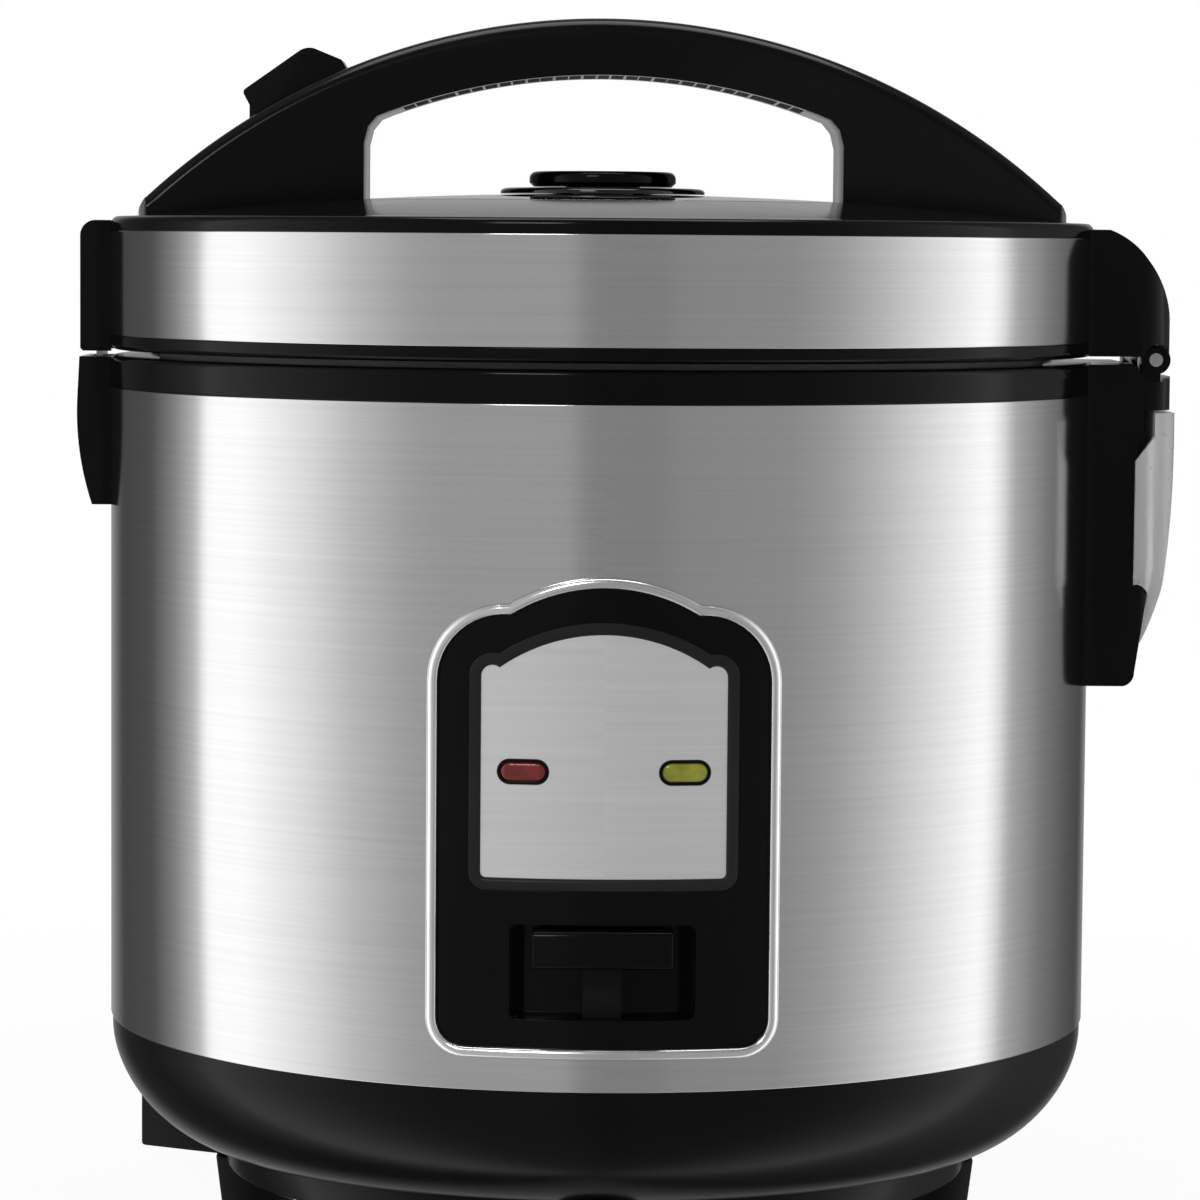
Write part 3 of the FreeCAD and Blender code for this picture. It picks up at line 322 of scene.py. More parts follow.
@dataclass(frozen=True)
class Moulding(Finish):
    """Moulded plastic: glossy with a faint ripple, or matte with a spark-eroded grain."""

    colour: Colour = (0.0022, 0.0022, 0.0026)
    roughness: float = 0.11
    grain_scale: float = 420.0
    grain_depth: float = 0.000010
    coat: float = 0.0
    specular: float = 0.12

    def build(self) -> bpy.types.Material:
        """Builds the moulded material."""
        shader = Shader(self.title)
        place = shader.place()
        grain = shader.noise(place, self.grain_scale, 2.0, 0.5)
        wear = shader.noise(place, 30.0, 4.0, 0.6)
        high = tuple(1.5 * part + 0.0004 for part in self.colour)
        return shader.finish({
            "Base Color": shader.blend(wear.above(0.4, 0.4), self.colour, high),
            "Roughness": self.roughness + wear.above(0.45, 0.3) * (0.25 * self.roughness + 0.01),
            "Coat Weight": self.coat,
            "Coat Roughness": 0.06,
            "Specular IOR Level": self.specular,
            "Normal": shader.relief(grain, self.grain_depth),
        })


@dataclass(frozen=True)
class PolishedMetal(Finish):
    """Plated or polished metal with faint polishing marks."""

    colour: Colour = (0.82, 0.82, 0.83)
    roughness: float = 0.10
    mark_depth: float = 0.000006

    def build(self) -> bpy.types.Material:
        """Builds the polished material."""
        shader = Shader(self.title)
        place = shader.place()
        marks = shader.noise(place, 900.0, 3.0, 0.6)
        film = shader.noise(place, 60.0, 3.0, 0.55)
        low = tuple(0.92 * part for part in self.colour)
        return shader.finish({
            "Base Color": shader.blend(film.above(0.35, 0.4), low, self.colour),
            "Metallic": 1.0,
            "Roughness": self.roughness + film * 0.08 - 0.02,
            "Normal": shader.relief(marks, self.mark_depth),
        })


@dataclass(frozen=True)
class TurnedMetal(Finish):
    """Metal turned on a lathe, with fine rings about the cooker's axis."""

    colour: Colour = (0.62, 0.62, 0.63)
    roughness: float = 0.3
    ring_scale: float = 2600.0
    ring_depth: float = 0.00003

    def build(self) -> bpy.types.Material:
        """Builds the turned material."""
        shader = Shader(self.title)
        x, y, z = shader.split(shader.place())
        radius = (x * x + y * y) ** 0.5
        rings = shader.noise(shader.join(radius * self.ring_scale, z * self.ring_scale, 0.0), 1.0, 3.0, 0.6)
        stain = shader.noise(shader.place(), 45.0, 4.0, 0.6)
        low = tuple(0.8 * part for part in self.colour)
        return shader.finish({
            "Base Color": shader.blend(stain.above(0.3, 0.5), low, self.colour),
            "Metallic": 1.0,
            "Roughness": self.roughness + rings * 0.15 - 0.05,
            "Normal": shader.relief(rings, self.ring_depth),
        })


@dataclass(frozen=True)
class NonStick(Finish):
    """Non-stick coating: dark grey with fine pale specks."""

    colour: Colour = (0.045, 0.045, 0.048)
    speck: Colour = (0.30, 0.30, 0.31)

    def build(self) -> bpy.types.Material:
        """Builds the coating."""
        shader = Shader(self.title)
        place = shader.place()
        cells = shader.node("ShaderNodeTexVoronoi", {}, {"Vector": place, "Scale": 900.0}, "Distance")
        chance = shader.noise(place, 420.0, 2.0, 0.5)
        specks = (1.0 - cells.above(0.16, 0.1)) * chance.above(0.56, 0.04)
        skin = shader.noise(place, 1500.0, 2.0, 0.5)
        return shader.finish({
            "Base Color": shader.blend(specks, self.colour, self.speck),
            "Roughness": 0.36 + skin * 0.14,
            "Coat Weight": 0.15,
            "Normal": shader.relief(skin, 0.00002),
        })


@dataclass(frozen=True)
class ClearMoulding(Finish):
    """Clear or frosted plastic and glass that light passes through."""

    colour: Colour = (0.9, 0.92, 0.93)
    roughness: float = 0.2
    passes: float = 0.85
    index: float = 1.49
    flow_depth: float = 0.00004

    def build(self) -> bpy.types.Material:
        """Builds the clear material."""
        shader = Shader(self.title)
        place = shader.place()
        flow = shader.noise(place, 70.0, 3.0, 0.5)
        film = shader.noise(place, 220.0, 3.0, 0.6)
        low = tuple(0.94 * part for part in self.colour)
        return shader.finish({
            "Base Color": shader.blend(flow, low, self.colour),
            "Roughness": self.roughness + film * 0.3 * self.roughness,
            "Transmission Weight": self.passes,
            "IOR": self.index,
            "Normal": shader.relief(flow, self.flow_depth),
        })


@dataclass(frozen=True)
class Lens(Finish):
    """Tinted lamp lens with the lamp showing faintly through it."""

    colour: Colour = (0.32, 0.035, 0.03)
    glow: float = 0.25

    def build(self) -> bpy.types.Material:
        """Builds the lens."""
        shader = Shader(self.title)
        place = shader.place()
        x, y, z = shader.split(place)
        ribs = (x * 5200.0).sine() * 0.5 + 0.5
        cloud = shader.noise(place, 300.0, 2.0, 0.5)
        deep = tuple(0.6 * part for part in self.colour)
        tone = shader.blend(cloud.above(0.35, 0.35), deep, self.colour)
        return shader.finish({
            "Base Color": tone,
            "Roughness": 0.16 + ribs * 0.05,
            "Coat Weight": 0.25,
            "Emission Color": tone,
            "Emission Strength": self.glow,
            "Normal": shader.relief(ribs, 0.00003),
        })


class Finishes:
    """The finishes that this cooker uses."""

    STEEL = BrushedSteel("brushed_steel")
    LINING = BrushedSteel("lining_steel", roughness=0.26, line_scale=2600.0)
    BLACK = Moulding("gloss_black")
    BASE = Moulding("base_black", roughness=0.17, specular=0.14)
    HANDLE = Moulding("handle_black", roughness=0.15, specular=0.16)
    VENT = Moulding("vent_black", roughness=0.07, coat=0.3, specular=0.4)
    MATTE = Moulding("matte_black", colour=(0.008, 0.008, 0.009), roughness=0.5, grain_scale=2600.0,
                     grain_depth=0.00006)
    BEZEL = Moulding("grey_trim", colour=(0.018, 0.018, 0.019), roughness=0.3)
    RUBBER = Moulding("rubber", colour=(0.012, 0.012, 0.012), roughness=0.7, grain_scale=1800.0,
                      grain_depth=0.00008)
    SILICONE = Moulding("silicone", colour=(0.42, 0.42, 0.40), roughness=0.45, grain_scale=900.0,
                        specular=0.5)
    ACETAL = Moulding("white_plastic", colour=(0.72, 0.71, 0.66), roughness=0.35, specular=0.5)
    BOARD = Moulding("circuit_board", colour=(0.16, 0.09, 0.04), roughness=0.5, specular=0.5)
    MICA = Moulding("mica_band", colour=(0.33, 0.26, 0.16), roughness=0.55, grain_scale=300.0,
                    grain_depth=0.0002, specular=0.5)
    TRIM = PolishedMetal("bright_trim", colour=(0.86, 0.86, 0.87), roughness=0.16)
    ZINC = PolishedMetal("plain_steel", colour=(0.52, 0.52, 0.53), roughness=0.28)
    BRASS = PolishedMetal("brass", colour=(0.72, 0.58, 0.34), roughness=0.22)
    LABEL = BrushedSteel("silver_label", colour=(0.87, 0.87, 0.88), roughness=0.36, line_scale=3600.0,
                         metal=0.7)
    ALUMINIUM = TurnedMetal("pot_aluminium")
    CASTING = TurnedMetal("cast_aluminium", colour=(0.55, 0.55, 0.56), roughness=0.38, ring_depth=0.00006)
    FERRITE = TurnedMetal("ferrite", colour=(0.10, 0.10, 0.11), roughness=0.45)
    COATING = NonStick("non_stick")
    GLASS = ClearMoulding("window_glass", colour=(0.34, 0.36, 0.36), roughness=0.02, passes=1.0, index=1.5,
                          flow_depth=0.00001)
    CUP = ClearMoulding("clear_plastic", colour=(0.97, 0.97, 0.98), roughness=0.25, passes=0.6)
    NEON = ClearMoulding("lamp_glass", roughness=0.05)
    RED = Lens("red_lens", colour=(0.20, 0.012, 0.010), glow=0.14)
    GREEN = Lens("green_lens", colour=(0.32, 0.33, 0.03), glow=0.14)


# ---------------------------------------------------------------- mesh making
def arc(centre: Pair, radius: float, start: float, end: float, steps: int = 12) -> list[Pair]:
    """Points along a circle's arc.

    Args:
        centre: the circle's centre.
        radius: its radius.
        start: the first point's angle, in degrees.
        end: the last point's angle.
        steps: the number of steps between them.

    Returns:
        The points.
    """
    angles = [math.radians(start + (end - start) * step / steps) for step in range(steps + 1)]
    return [(centre[0] + radius * math.cos(a), centre[1] + radius * math.sin(a)) for a in angles]


def soften(corners: Sequence[Triple], steps: int = 5) -> list[Pair]:
    """Rounds the corners of a closed outline.

    Args:
        corners: (first, second, corner radius) for each corner in order.
        steps: how many steps each rounded corner has.

    Returns:
        The outline's points.
    """
    points: list[Pair] = []
    for index, (a, b, radius) in enumerate(corners):
        here = Vector((a, b))
        before = Vector(corners[index - 1][:2]) - here
        after = Vector(corners[(index + 1) % len(corners)][:2]) - here
        if radius <= 0:
            points.append((a, b))
            continue
        half = before.angle(after) / 2
        if half > 1.55:
            points.append((a, b))
            continue
        reach = min(radius / math.tan(half), 0.49 * before.length, 0.49 * after.length)
        radius = reach * math.tan(half)
        centre = here + (before.normalized() + after.normalized()).normalized() * (radius / math.sin(half))
        start = here + before.normalized() * reach - centre
        end = here + after.normalized() * reach - centre
        first = math.atan2(start.y, start.x)
        turn = (math.atan2(end.y, end.x) - first + math.pi) % (2 * math.pi) - math.pi
        for step in range(steps + 1):
            angle = first + turn * step / steps
            points.append((centre.x + radius * math.cos(angle), centre.y + radius * math.sin(angle)))
    return points


class Maker:
    """Makes meshes in millimetres and hands them over as pieces in metres."""

    SHARP = math.radians(38.0)

    @staticmethod
    def solid(name: str, points: Sequence[Sequence[float]],
              faces: Iterable[Sequence[int]]) -> bpy.types.Object:
        """Makes an object from points and faces.

        Args:
            name: the object's name.
            points: the corners, in millimetres.
            faces: each face's corner numbers.

        Returns:
            The object, with its faces turned outwards.
        """
        mesh = bpy.data.meshes.new(name)
        mesh.from_pydata([tuple(part * MM for part in point) for point in points], [],
                         [tuple(f) for f in faces])
        shape = bmesh.new()
        shape.from_mesh(mesh)
        bmesh.ops.remove_doubles(shape, verts=shape.verts, dist=1e-7)
        bmesh.ops.dissolve_degenerate(shape, dist=1e-7, edges=shape.edges)
        bmesh.ops.recalc_face_normals(shape, faces=shape.faces)
        shape.to_mesh(mesh)
        shape.free()
        made = bpy.data.objects.new(name, mesh)
        bpy.context.scene.collection.objects.link(made)
        return made

    @classmethod
    def lathe(cls, name: str, profile: Sequence[Pair], segments: int = 192,
              centre: Pair = (0.0, 0.0)) -> bpy.types.Object:
        """Turns a closed profile about an upright axis.

        Args:
            name: the object's name.
            profile: (radius, height) points of a closed outline.
            segments: the number of steps round the axis.
            centre: where the axis stands.

        Returns:
            The object.
        """
        points: list[Triple] = []
        for radius, height in profile:
            for step in range(segments):
                angle = 2 * math.pi * step / segments
                points.append((centre[0] + radius * math.cos(angle), centre[1] + radius * math.sin(angle),
                               height))
        faces = []
        rows = len(profile)
        for row in range(rows):
            below, above = row * segments, (row + 1) % rows * segments
            if profile[row][0] < 1e-9 and profile[(row + 1) % rows][0] < 1e-9:
                continue
            for step in range(segments):
                along = (step + 1) % segments
                faces.append((below + step, below + along, above + along, above + step))
        return cls.solid(name, points, faces)

    @classmethod
    def prism(cls, name: str, outline: Sequence[Pair], low: float, high: float,
              place: Callable[[float, float, float], Triple]) -> bpy.types.Object:
        """Draws out an outline between two planes.

        Args:
            name: the object's name.
            outline: the outline's points.
            low: the first plane.
            high: the second plane.
            place: turns (first, second, plane) into a point.

        Returns:
            The object.
        """
        count = len(outline)
        points = [place(a, b, level) for level in (low, high) for a, b in outline]
        faces = [tuple(range(count)), tuple(range(2 * count - 1, count - 1, -1))]
        faces += [(i, (i + 1) % count, count + (i + 1) % count, count + i) for i in range(count)]
        return cls.solid(name, points, faces)

    @classmethod
    def side_prism(cls, name: str, outline: Sequence[Pair], half: float) -> bpy.types.Object:
        """A prism from an (x, z) outline, as far to each side of the middle plane."""
        return cls.prism(name, outline, -half, half, lambda a, b, level: (a, level, b))

    @classmethod
    def plan_prism(cls, name: str, outline: Sequence[Pair], low: float, high: float) -> bpy.types.Object:
        """A prism from an (x, y) outline between two heights."""
        return cls.prism(name, outline, low, high, lambda a, b, level: (a, b, level))

    @classmethod
    def box(cls, name: str, x: Pair, y: Pair, z: Pair) -> bpy.types.Object:
        """A box from three (low, high) pairs."""
        outline = [(x[0], y[0]), (x[1], y[0]), (x[1], y[1]), (x[0], y[1])]
        return cls.plan_prism(name, outline, *z)

    @classmethod
    def loops(cls, name: str, rings: Sequence[Sequence[Triple]], closed: bool,
              caps: bool) -> bpy.types.Object:
        """Joins rings of points by quads.

        Args:
            name: the object's name.
            rings: rings with the same number of points each.
            closed: whether the last ring joins the first.
            caps: whether the first and last rings are filled.

        Returns:
            The object.
        """
        size = len(rings[0])
        points = [point for ring in rings for point in ring]
        faces: list[tuple[int, ...]] = []
        for row in range(len(rings) if closed else len(rings) - 1):
            here, there = row * size, (row + 1) % len(rings) * size
            faces += [(here + i, here + (i + 1) % size, there + (i + 1) % size, there + i)
                      for i in range(size)]
        if caps:
            faces.append(tuple(range(size)))
            faces.append(tuple(range(len(points) - 1, len(points) - size - 1, -1)))
        return cls.solid(name, points, faces)

    @staticmethod
    def flatten(made: bpy.types.Object) -> bpy.types.Object:
        """Turns an object's modifiers into plain mesh.

        Args:
            made: the object.

        Returns:
            The same object, with a new mesh and no modifiers.
        """
        graph = bpy.context.evaluated_depsgraph_get()
        graph.update()
        mesh = bpy.data.meshes.new_from_object(made.evaluated_get(graph))
        made.modifiers.clear()
        made.data = mesh
        return made

    @classmethod
    def bevel(cls, made: bpy.types.Object, width: float, steps: int = 3,
              angle: float = 40.0) -> bpy.types.Object:
        """Rounds the sharp edges of an object.

        Args:
            made: the object.
            width: the width of the rounding, in millimetres.
            steps: how many steps it has.
            angle: edges sharper than this are rounded, in degrees.

        Returns:
            The same object.
        """
        change = made.modifiers.new("round", "BEVEL")
        change.width = width * MM
        change.segments = steps
        change.limit_method = "ANGLE"
        change.angle_limit = math.radians(angle)
        change.use_clamp_overlap = True
        return cls.flatten(made)

    @classmethod
    def carve(cls, made: bpy.types.Object, tools: Sequence[bpy.types.Object],
              operation: str = "DIFFERENCE") -> bpy.types.Object:
        """Cuts or joins an object with others, which are used up.

        Args:
            made: the object that is changed.
            tools: the others.
            operation: what is done with each of them.

        Returns:
            The same object.
        """
        for tool in tools:
            change = made.modifiers.new("carve", "BOOLEAN")
            change.operation = operation
            change.solver = "EXACT"
            change.object = tool
            cls.flatten(made)
            bpy.data.objects.remove(tool, do_unlink=True)
        return made

    @classmethod
    def join(cls, name: str, parts: Sequence[bpy.types.Object]) -> bpy.types.Object:
        """Puts several objects' meshes into one object.

        Args:
            name: the new object's name.
            parts: the objects, which are used up.

        Returns:
            The new object.
        """
        shape = bmesh.new()
        for part in parts:
            shape.from_mesh(part.data)
            bpy.data.objects.remove(part, do_unlink=True)
        mesh = bpy.data.meshes.new(name)
        shape.to_mesh(mesh)
        shape.free()
        made = bpy.data.objects.new(name, mesh)
        bpy.context.scene.collection.objects.link(made)
        return made

    @classmethod
    def hand_over(cls, made: bpy.types.Object, finish: Finish, body: str, slot: str, *nodes: str) -> None:
        """Dresses a piece and puts it on its body.

        Args:
            made: the piece.
            finish: its finish.
            body: the body that it rides on.
            slot: the record's slot for the piece; not used.
            nodes: the CAD nodes that it stands for.
        """
        made.data.materials.clear()
        made.data.materials.append(finish.material())
        for polygon in made.data.polygons:
            polygon.use_smooth = True
            polygon.material_index = 0
        made.data.set_sharp_from_angle(angle=cls.SHARP)
        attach(made, body)
        if nodes:
            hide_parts(*nodes)
        LOG.info("%s rides on %s", made.name, body)


class Pattern(Enum):
    """How a repeated detail is laid out."""

    RING = "ring"
    ROW = "row"


class Repeater:
    """Geometry Nodes trees that repeat a small part round a ring or along a row."""

    @staticmethod
    def tree(pattern: Pattern) -> bpy.types.GeometryNodeTree:
        """Builds the tree for a pattern, once.

        Args:
            pattern: the layout.

        Returns:
            The node tree, with named inputs.
        """
        name = "repeat_" + pattern.value
        if name in bpy.data.node_groups:
            return bpy.data.node_groups[name]
        tree = bpy.data.node_groups.new(name, "GeometryNodeTree")
        face = tree.interface
        face.new_socket(name="Geometry", in_out="OUTPUT", socket_type="NodeSocketGeometry")
        kinds = {"Part": "NodeSocketObject", "Count": "NodeSocketInt", "Start": "NodeSocketVector",
                 "Step": "NodeSocketVector", "Radius": "NodeSocketFloat", "Finish": "NodeSocketMaterial"}
        for label, kind in kinds.items():
            face.new_socket(name=label, in_out="INPUT", socket_type=kind)
        add, link = tree.nodes.new, tree.links.new
        source, result = add("NodeGroupInput"), add("NodeGroupOutput")
        part = add("GeometryNodeObjectInfo")
        link(source.outputs["Part"], part.inputs["Object"])
        copies = add("GeometryNodeInstanceOnPoints")
        link(part.outputs["Geometry"], copies.inputs["Instance"])
        if pattern is Pattern.RING:
            circle = add("GeometryNodeMeshCircle")
            link(source.outputs["Count"], circle.inputs["Vertices"])
            link(source.outputs["Radius"], circle.inputs["Radius"])
            link(circle.outputs["Mesh"], copies.inputs["Points"])
            align = add("FunctionNodeAlignRotationToVector")
            align.axis = "X"
            link(add("GeometryNodeInputPosition").outputs[0], align.inputs["Vector"])
            link(align.outputs[0], copies.inputs["Rotation"])
        else:
            line = add("GeometryNodeMeshLine")
            link(source.outputs["Count"], line.inputs["Count"])
            link(source.outputs["Step"], line.inputs["Offset"])
            link(line.outputs["Mesh"], copies.inputs["Points"])
        move = add("GeometryNodeTransform")
        link(copies.outputs[0], move.inputs["Geometry"])
        link(source.outputs["Start"], move.inputs["Translation"])
        real, dress = add("GeometryNodeRealizeInstances"), add("GeometryNodeSetMaterial")
        link(move.outputs[0], real.inputs[0])
        link(real.outputs[0], dress.inputs["Geometry"])
        link(source.outputs["Finish"], dress.inputs["Material"])
        link(dress.outputs[0], result.inputs[0])
        return tree

    @classmethod
    def repeat(cls, name: str, part: bpy.types.Object, pattern: Pattern, count: int, start: Triple,
               finish: Finish, step: Triple = (0.0, 0.0, 0.0), radius: float = 0.0) -> bpy.types.Object:
        """Repeats a part and returns the result as plain mesh.

        Args:
            name: the new object's name.
            part: the part at the origin, which is used up.
            pattern: the layout.
            count: how many copies.
            start: where the ring's centre or the row's first copy is, in millimetres.
            finish: the finish that the tree sets.
            step: from one copy of a row to the next.
            radius: the ring's radius.

        Returns:
            The new object.
        """
        tree = cls.tree(pattern)
        holder = bpy.data.objects.new(name, bpy.data.meshes.new(name))
        bpy.context.scene.collection.objects.link(holder)
        change = holder.modifiers.new("repeat", "NODES")
        change.node_group = tree
        values = {"Part": part, "Count": count, "Start": [v * MM for v in start],
                  "Step": [v * MM for v in step],
                  "Radius": radius * MM, "Finish": finish.material()}
        for item in tree.interface.items_tree:
            if item.in_out == "INPUT":
                change[item.identifier] = values[item.name]
        Maker.flatten(holder)
        bpy.data.objects.remove(part, do_unlink=True)
        return holder


# ---------------------------------------------------------------- studio
@dataclass
class Studio:
    """The camera, the white surround, the pale floor and the soft lamps."""

    camera_at: Triple = (-11.8, -1042.7, 220.6)
    pitch: float = 4.452
    yaw: float = 0.657
    roll: float = 0.463
    lens: float = 138.47
    floor_radius: float = 520.0
    steel_share: float = 0.62
    levels: tuple[Pair, ...] = ((-175, 0.30), (-150, 0.045), (-128, 0.065), (-117, 0.19), (-107, 0.45),
                                (-103.5, 1.0), (-90, 0.98), (-71, 0.70), (-59, 0.48), (-45, 0.33),
                                (-36, 0.295),
                                (-7, 0.295), (-4, 0.205), (13, 0.20), (17, 0.225), (43, 0.245), (54, 0.31),
                                (66, 0.45), (80, 0.67), (95, 0.92), (100, 1.0), (105, 0.75), (110, 0.36),
                                (126, 0.165), (142, 0.08), (156, 0.045), (175, 0.30))

    def camera(self) -> None:
        """Sets up the camera in front of the cooker, a little above its middle."""
        data = bpy.data.cameras.new("camera")
        data.lens, data.sensor_width = self.lens, 36.0
        data.clip_start, data.clip_end = 0.05, 50.0
        made = bpy.data.objects.new("camera", data)
        pitch, yaw = math.radians(self.pitch), math.radians(self.yaw)
        ahead = Vector((math.sin(yaw) * math.cos(pitch), math.cos(yaw) * math.cos(pitch), -math.sin(pitch)))
        turn = ahead.to_track_quat("-Z", "Y").to_matrix().to_4x4()
        place = Matrix.Translation(Vector(self.camera_at) * MM)
        made.matrix_world = place @ turn @ Matrix.Rotation(math.radians(self.roll), 4, "Z")
        bpy.context.scene.collection.objects.link(made)
        bpy.context.scene.camera = made

    def surround(self) -> None:
        """Makes the world: white behind the cooker, and cards and dark flags round it for what shines."""
        world = bpy.data.worlds.new("studio")
        world.use_nodes = True
        world.node_tree.nodes.clear()
        graph = Graph(world.node_tree)
        x, y, z = graph.split(graph.node("ShaderNodeTexCoord", {}, {}, "Generated"))
        turn = x.atan2(y * -1.0) / (2 * math.pi) + 0.5
        stops = [(angle / 360.0 + 0.5, (level / self.steel_share,) * 3) for angle, level in self.levels]
        cards = graph.node("ShaderNodeValToRGB", {"stops": stops}, {0: turn})
        ceiling = z.above(0.35, 0.4) * 0.8
        shown = graph.node("ShaderNodeMix", {"data_type": "RGBA"},
                           {0: ceiling, 6: cards, 7: (0.25, 0.25, 0.25)}, 2)
        path = graph.node("ShaderNodeLightPath", {}, {}, "Is Camera Ray")
        through = Wire(graph, path.socket.node.outputs["Is Transmission Ray"])
        white = path + through
        colour = graph.node("ShaderNodeMix", {"data_type": "RGBA", "clamp_factor": True},
                            {0: white, 6: shown, 7: (1.0, 1.0, 1.0)}, 2)
        back = graph.node("ShaderNodeBackground", {}, {0: colour, 1: 1.0})
        end = world.node_tree.nodes.new("ShaderNodeOutputWorld")
        world.node_tree.links.new(back.socket, end.inputs["Surface"])
        bpy.context.scene.world = world

    def floor(self) -> None:
        """Lays a pale floor that keeps a soft shadow and fades into the white surround."""
        disc = Maker.lathe("floor", [(0.0, -3.0), (self.floor_radius, -3.0), (self.floor_radius, 0.0),
                                     (0.0, 0.0)], 96)
        shader = Shader("pale_floor")
        x, y, _ = shader.split(shader.place())
        far = ((x * x + y * y) ** 0.5).above(0.20, 0.28)
        fleck = shader.noise(shader.place(), 14.0, 2.0, 0.5)
        matt = shader.node("ShaderNodeBsdfDiffuse", {},
                           {0: shader.blend(fleck, (0.60, 0.60, 0.60), (0.63, 0.63, 0.63))})
        light = shader.node("ShaderNodeEmission", {}, {0: (1.0, 1.0, 1.0), 1: 1.0})
        path = shader.node("ShaderNodeLightPath", {}, {}, "Is Camera Ray")
        share = path * (0.955 + far * 0.045)
        mixed = shader.node("ShaderNodeMixShader", {}, {0: share, 1: matt, 2: light})
        shader.tree.links.new(mixed.socket, shader.output.inputs["Surface"])
        disc.data.materials.append(shader.material)
        disc.visible_glossy = False

    def lamp(self, name: str, size: Pair, place: Triple, power: float) -> None:
        """Hangs a soft rectangular lamp that faces the cooker.

        Args:
            name: the lamp's name.
            size: its width and height, in millimetres.
            place: where it hangs, in millimetres.
            power: its power, in watts.
        """
        data = bpy.data.lights.new(name, "AREA")
        data.shape, data.size, data.size_y, data.energy = "RECTANGLE", size[0] * MM, size[1] * MM, power
        made = bpy.data.objects.new(name, data)
        at = Vector(place) * MM
        aim = (Vector((0.0, 0.0, 0.13)) - at).to_track_quat("-Z", "Y").to_matrix().to_4x4()
        made.matrix_world = Matrix.Translation(at) @ aim
        made.visible_camera = False
        bpy.context.scene.collection.objects.link(made)

    def build(self) -> None:
        """Sets up the whole studio."""
        self.camera()
        self.surround()
        self.floor()
        self.lamp("top_softbox", (900, 700), (0, 150, 1500), 9.0)
        self.lamp("front_softbox", (500, 500), (-500, -1500, 1300), 7.0)
        scene = bpy.context.scene
        scene.view_settings.view_transform = "Standard"
        LOG.info("studio ready")


# ---------------------------------------------------------------- body
BODY = "cooker_body"
LID = "lid"


@dataclass
class SteelBody:
    """The brushed sleeve and the black collar above it."""

    radius: float = 110.0
    sheet: float = 0.6
    low: float = 46.8
    top: float = 187.5
    collar_top: float = 194.5

    def sleeve(self) -> None:
        """Makes the sleeve with softly rolled edges and the opening behind the control panel."""
        inner, outer = self.radius - self.sheet, self.radius
        profile = soften([(inner, self.low, 0.1), (outer, self.low, 0.45), (outer, self.top, 0.45),
                          (inner, self.top, 0.1)], 4)
        made = Maker.lathe("steel_sleeve", profile, 360)
        opening = Maker.prism("opening", PANEL.points(2.2), 90.0, 125.0, lambda a, b, level: (a, -level, b))
        Maker.carve(made, [opening])
        Maker.hand_over(made, Finishes.STEEL, BODY, "brushed_steel", "body_sleeve")

    def collar(self) -> None:
        """Makes the collar between the sleeve and the lid."""
        r = self.radius
        profile = soften([(97.8, 184.0, 0.2), (r - 3.2, 184.0, 0.2), (r - 3.2, 182.0, 0.2),
                          (r - 0.8, 182.0, 0.2),
                          (r - 0.8, self.top, 0.1), (r, self.top, 0.3), (r, self.collar_top, 1.3),
                          (101.0, self.collar_top, 0.6), (101.0, 187.0, 0.3), (97.8, 187.0, 0.3)], 5)
        made = Maker.lathe("body_collar_ring", profile, 256)
        Maker.hand_over(made, Finishes.BLACK, BODY, "gloss_black", "body_collar")

    def build(self) -> None:
        """Builds the body's pieces."""
        self.sleeve()
        self.collar()


